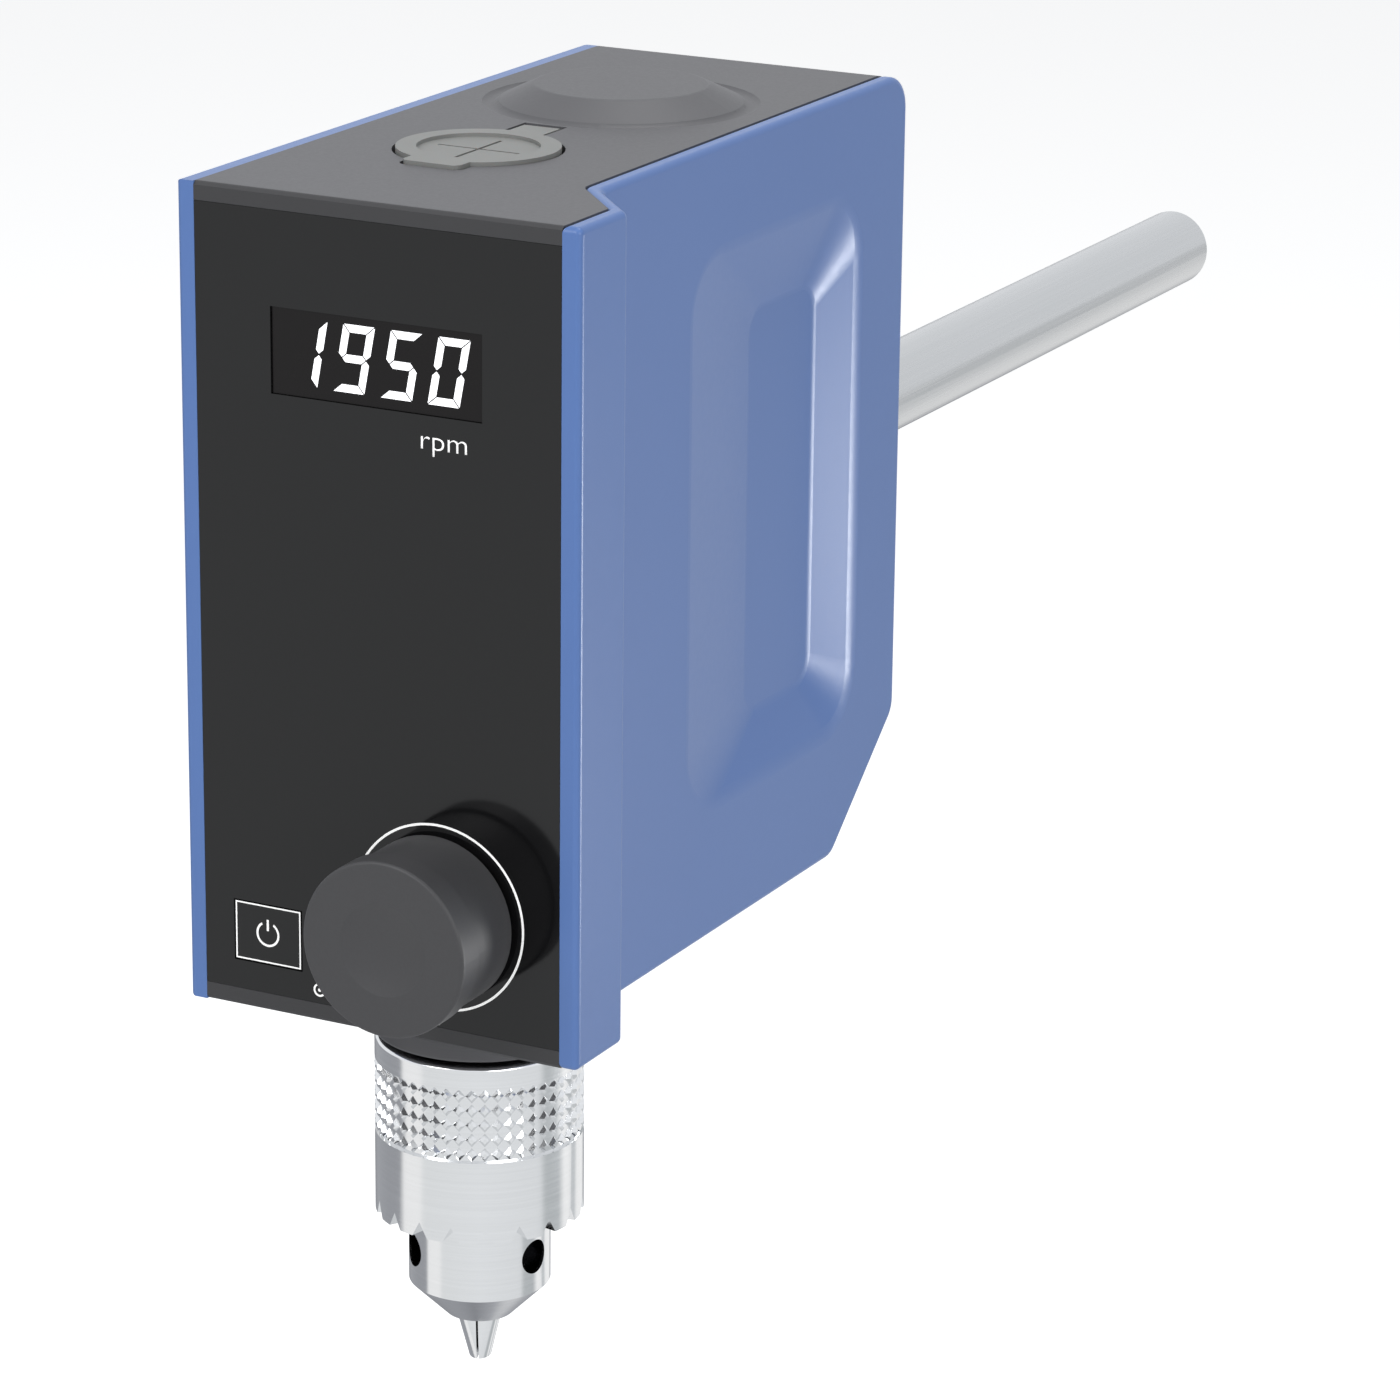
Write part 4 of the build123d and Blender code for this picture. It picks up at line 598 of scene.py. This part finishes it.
# paler and softer than the housing, slightly waxy, with a mottle of a few millimetres
place = add(tree, "ShaderNodeTexCoord")
mottle = add(tree, "ShaderNodeTexNoise", values={"Scale": 1 / (4 * MM), "Detail": 2.0},
             links={"Vector": place.outputs["Object"]})
tone = add(tree, "ShaderNodeMix", {"data_type": "RGBA"},
           {6: linear("#7E7F7D"), 7: linear("#858684")}, {0: mottle.outputs["Fac"]})
skin = add(tree, "ShaderNodeBsdfPrincipled",
           values={"IOR": 1.45, "Roughness": 0.5, "Subsurface Weight": 0.05, "Subsurface Scale": 0.5 * MM},
           links={"Base Color": tone.outputs[2]})
add(tree, "ShaderNodeOutputMaterial", links={"Surface": skin.outputs[0]})
dress(elastomer, "shaft_cap")

# ------------------------------------------------------------------ key chuck
# Turned and polished steel: body, toothed sleeve, nut ring and three ground jaws. The sleeve
# is rolled with a coarse knurl: five rows of flat-topped points on its turned-down band.
polished, tree = start("turned_and_polished_steel")
# bright metal with turning lines that run round the axis, drawn as coarse as 0.3 mm to show,
# and painted shade: dark grey inside the key holes and the bores, where shade falls
place = add(tree, "ShaderNodeTexCoord")
turned = add(tree, "ShaderNodeMapping", values={"Scale": (30.0, 30.0, 1 / (0.3 * MM))},
             links={"Vector": place.outputs["Object"]})
lines = add(tree, "ShaderNodeTexNoise", values={"Scale": 1.0, "Detail": 2.0},
            links={"Vector": turned.outputs[0]})
bright = add(tree, "ShaderNodeMix", {"data_type": "RGBA"},
             {6: linear("#E0E1E2"), 7: linear("#EAEBEC")}, {0: lines.outputs["Fac"]})
# painted shade: the metal turns dark grey within 9.6 mm of the axis and above the nose
shade_outer, shade_inner, shade_foot, shade_low = 9.8 * MM, 9.6 * MM, -48.2 * MM, -48.0 * MM
level_part = add(tree, "ShaderNodeMapping", values={"Scale": (1, 1, 0)},
                 links={"Vector": place.outputs["Object"]})
radius = add(tree, "ShaderNodeVectorMath", {"operation": "LENGTH"}, links={0: level_part.outputs[0]})
within = add(tree, "ShaderNodeMapRange", values={"From Min": shade_outer, "From Max": shade_inner},
             links={"Value": radius.outputs["Value"]})
height = add(tree, "ShaderNodeSeparateXYZ", links={"Vector": place.outputs["Object"]})
above_nose = add(tree, "ShaderNodeMapRange", values={"From Min": shade_foot, "From Max": shade_low},
                 links={"Value": height.outputs["Z"]})
shaded_share = add(tree, "ShaderNodeMath", {"operation": "MULTIPLY"},
             links={0: within.outputs[0], 1: above_nose.outputs[0]})
# painted shade is mixed in where that mask is full
tone = add(tree, "ShaderNodeMix", {"data_type": "RGBA"}, {7: linear("#424245")},
           {0: shaded_share.outputs[0], 6: bright.outputs[2]})
dull = add(tree, "ShaderNodeMapRange", values={"To Min": 0.10, "To Max": 0.18},
           links={"Value": lines.outputs["Fac"]})
bump = add(tree, "ShaderNodeBump", values={"Strength": 0.03, "Distance": 0.01 * MM},
           links={"Height": lines.outputs["Fac"]})
skin = add(tree, "ShaderNodeBsdfPrincipled", values={"Metallic": 1.0},
           links={"Base Color": tone.outputs[2], "Roughness": dull.outputs[0], "Normal": bump.outputs[0]})
add(tree, "ShaderNodeOutputMaterial", links={"Surface": skin.outputs[0]})
dress(polished, "chuck_body", "chuck_sleeve", "jaw_nut", "jaw_1", "jaw_2", "jaw_3")

knurl_columns, knurl_root, knurl_tip = 50, 14.2 * MM, 14.8 * MM
knurl_rows, knurl_high, knurl_pitch = 5, -17.185 * MM, 2.17 * MM
# half widths of a point at its root and its tip, as a share of the pitch
root_share, tip_share = 0.52, 0.2
column_turn = 2 * pi / knurl_columns
knurl_width = column_turn * knurl_tip
knurl = bmesh.new()
for row in range(knurl_rows):
    point = bmesh.ops.create_cone(
        knurl, cap_ends=True, segments=4, radius1=root_share, radius2=tip_share, depth=1,
        matrix=Matrix.Translation(((knurl_root + knurl_tip) / 2, 0, knurl_high - row * knurl_pitch))
        @ Matrix.Rotation(pi / 2, 4, "Y")
        @ Matrix.Diagonal((knurl_pitch, knurl_width, knurl_tip - knurl_root, 1)),
    )["verts"]
    faces = list({face for corner in point for face in corner.link_faces})
    bmesh.ops.spin(knurl, geom=point + faces, cent=(0, 0, 0), axis=(0, 0, 1), use_duplicate=True,
                   angle=column_turn * (knurl_columns - 1), steps=knurl_columns - 1)
rides("sleeve_knurl", knurl, polished, "chuck_ring")

# ------------------------------------------------------------------ extension arm
# A drawn stainless rod, chamfered at its free end and clamped in the socket by a grub screw.
drawn, tree = start("drawn_stainless_steel")
# satin, with long faint drawing lines along the rod, drawn 0.3 mm apart to show
place = add(tree, "ShaderNodeTexCoord")
along = add(tree, "ShaderNodeMapping", values={"Scale": (1 / (0.3 * MM), 20.0, 1 / (0.3 * MM))},
            links={"Vector": place.outputs["Object"]})
lines = add(tree, "ShaderNodeTexNoise", values={"Scale": 1.0, "Detail": 2.0},
            links={"Vector": along.outputs[0]})
tone = add(tree, "ShaderNodeMix", {"data_type": "RGBA"},
           {6: linear("#BFC1C2"), 7: linear("#C9CACB")}, {0: lines.outputs["Fac"]})
dull = add(tree, "ShaderNodeMapRange", values={"To Min": 0.20, "To Max": 0.32},
           links={"Value": lines.outputs["Fac"]})
skin = add(tree, "ShaderNodeBsdfPrincipled", values={"Metallic": 1.0},
           links={"Base Color": tone.outputs[2], "Roughness": dull.outputs[0]})
add(tree, "ShaderNodeOutputMaterial", links={"Surface": skin.outputs[0]})
dress(drawn, "extension_arm")
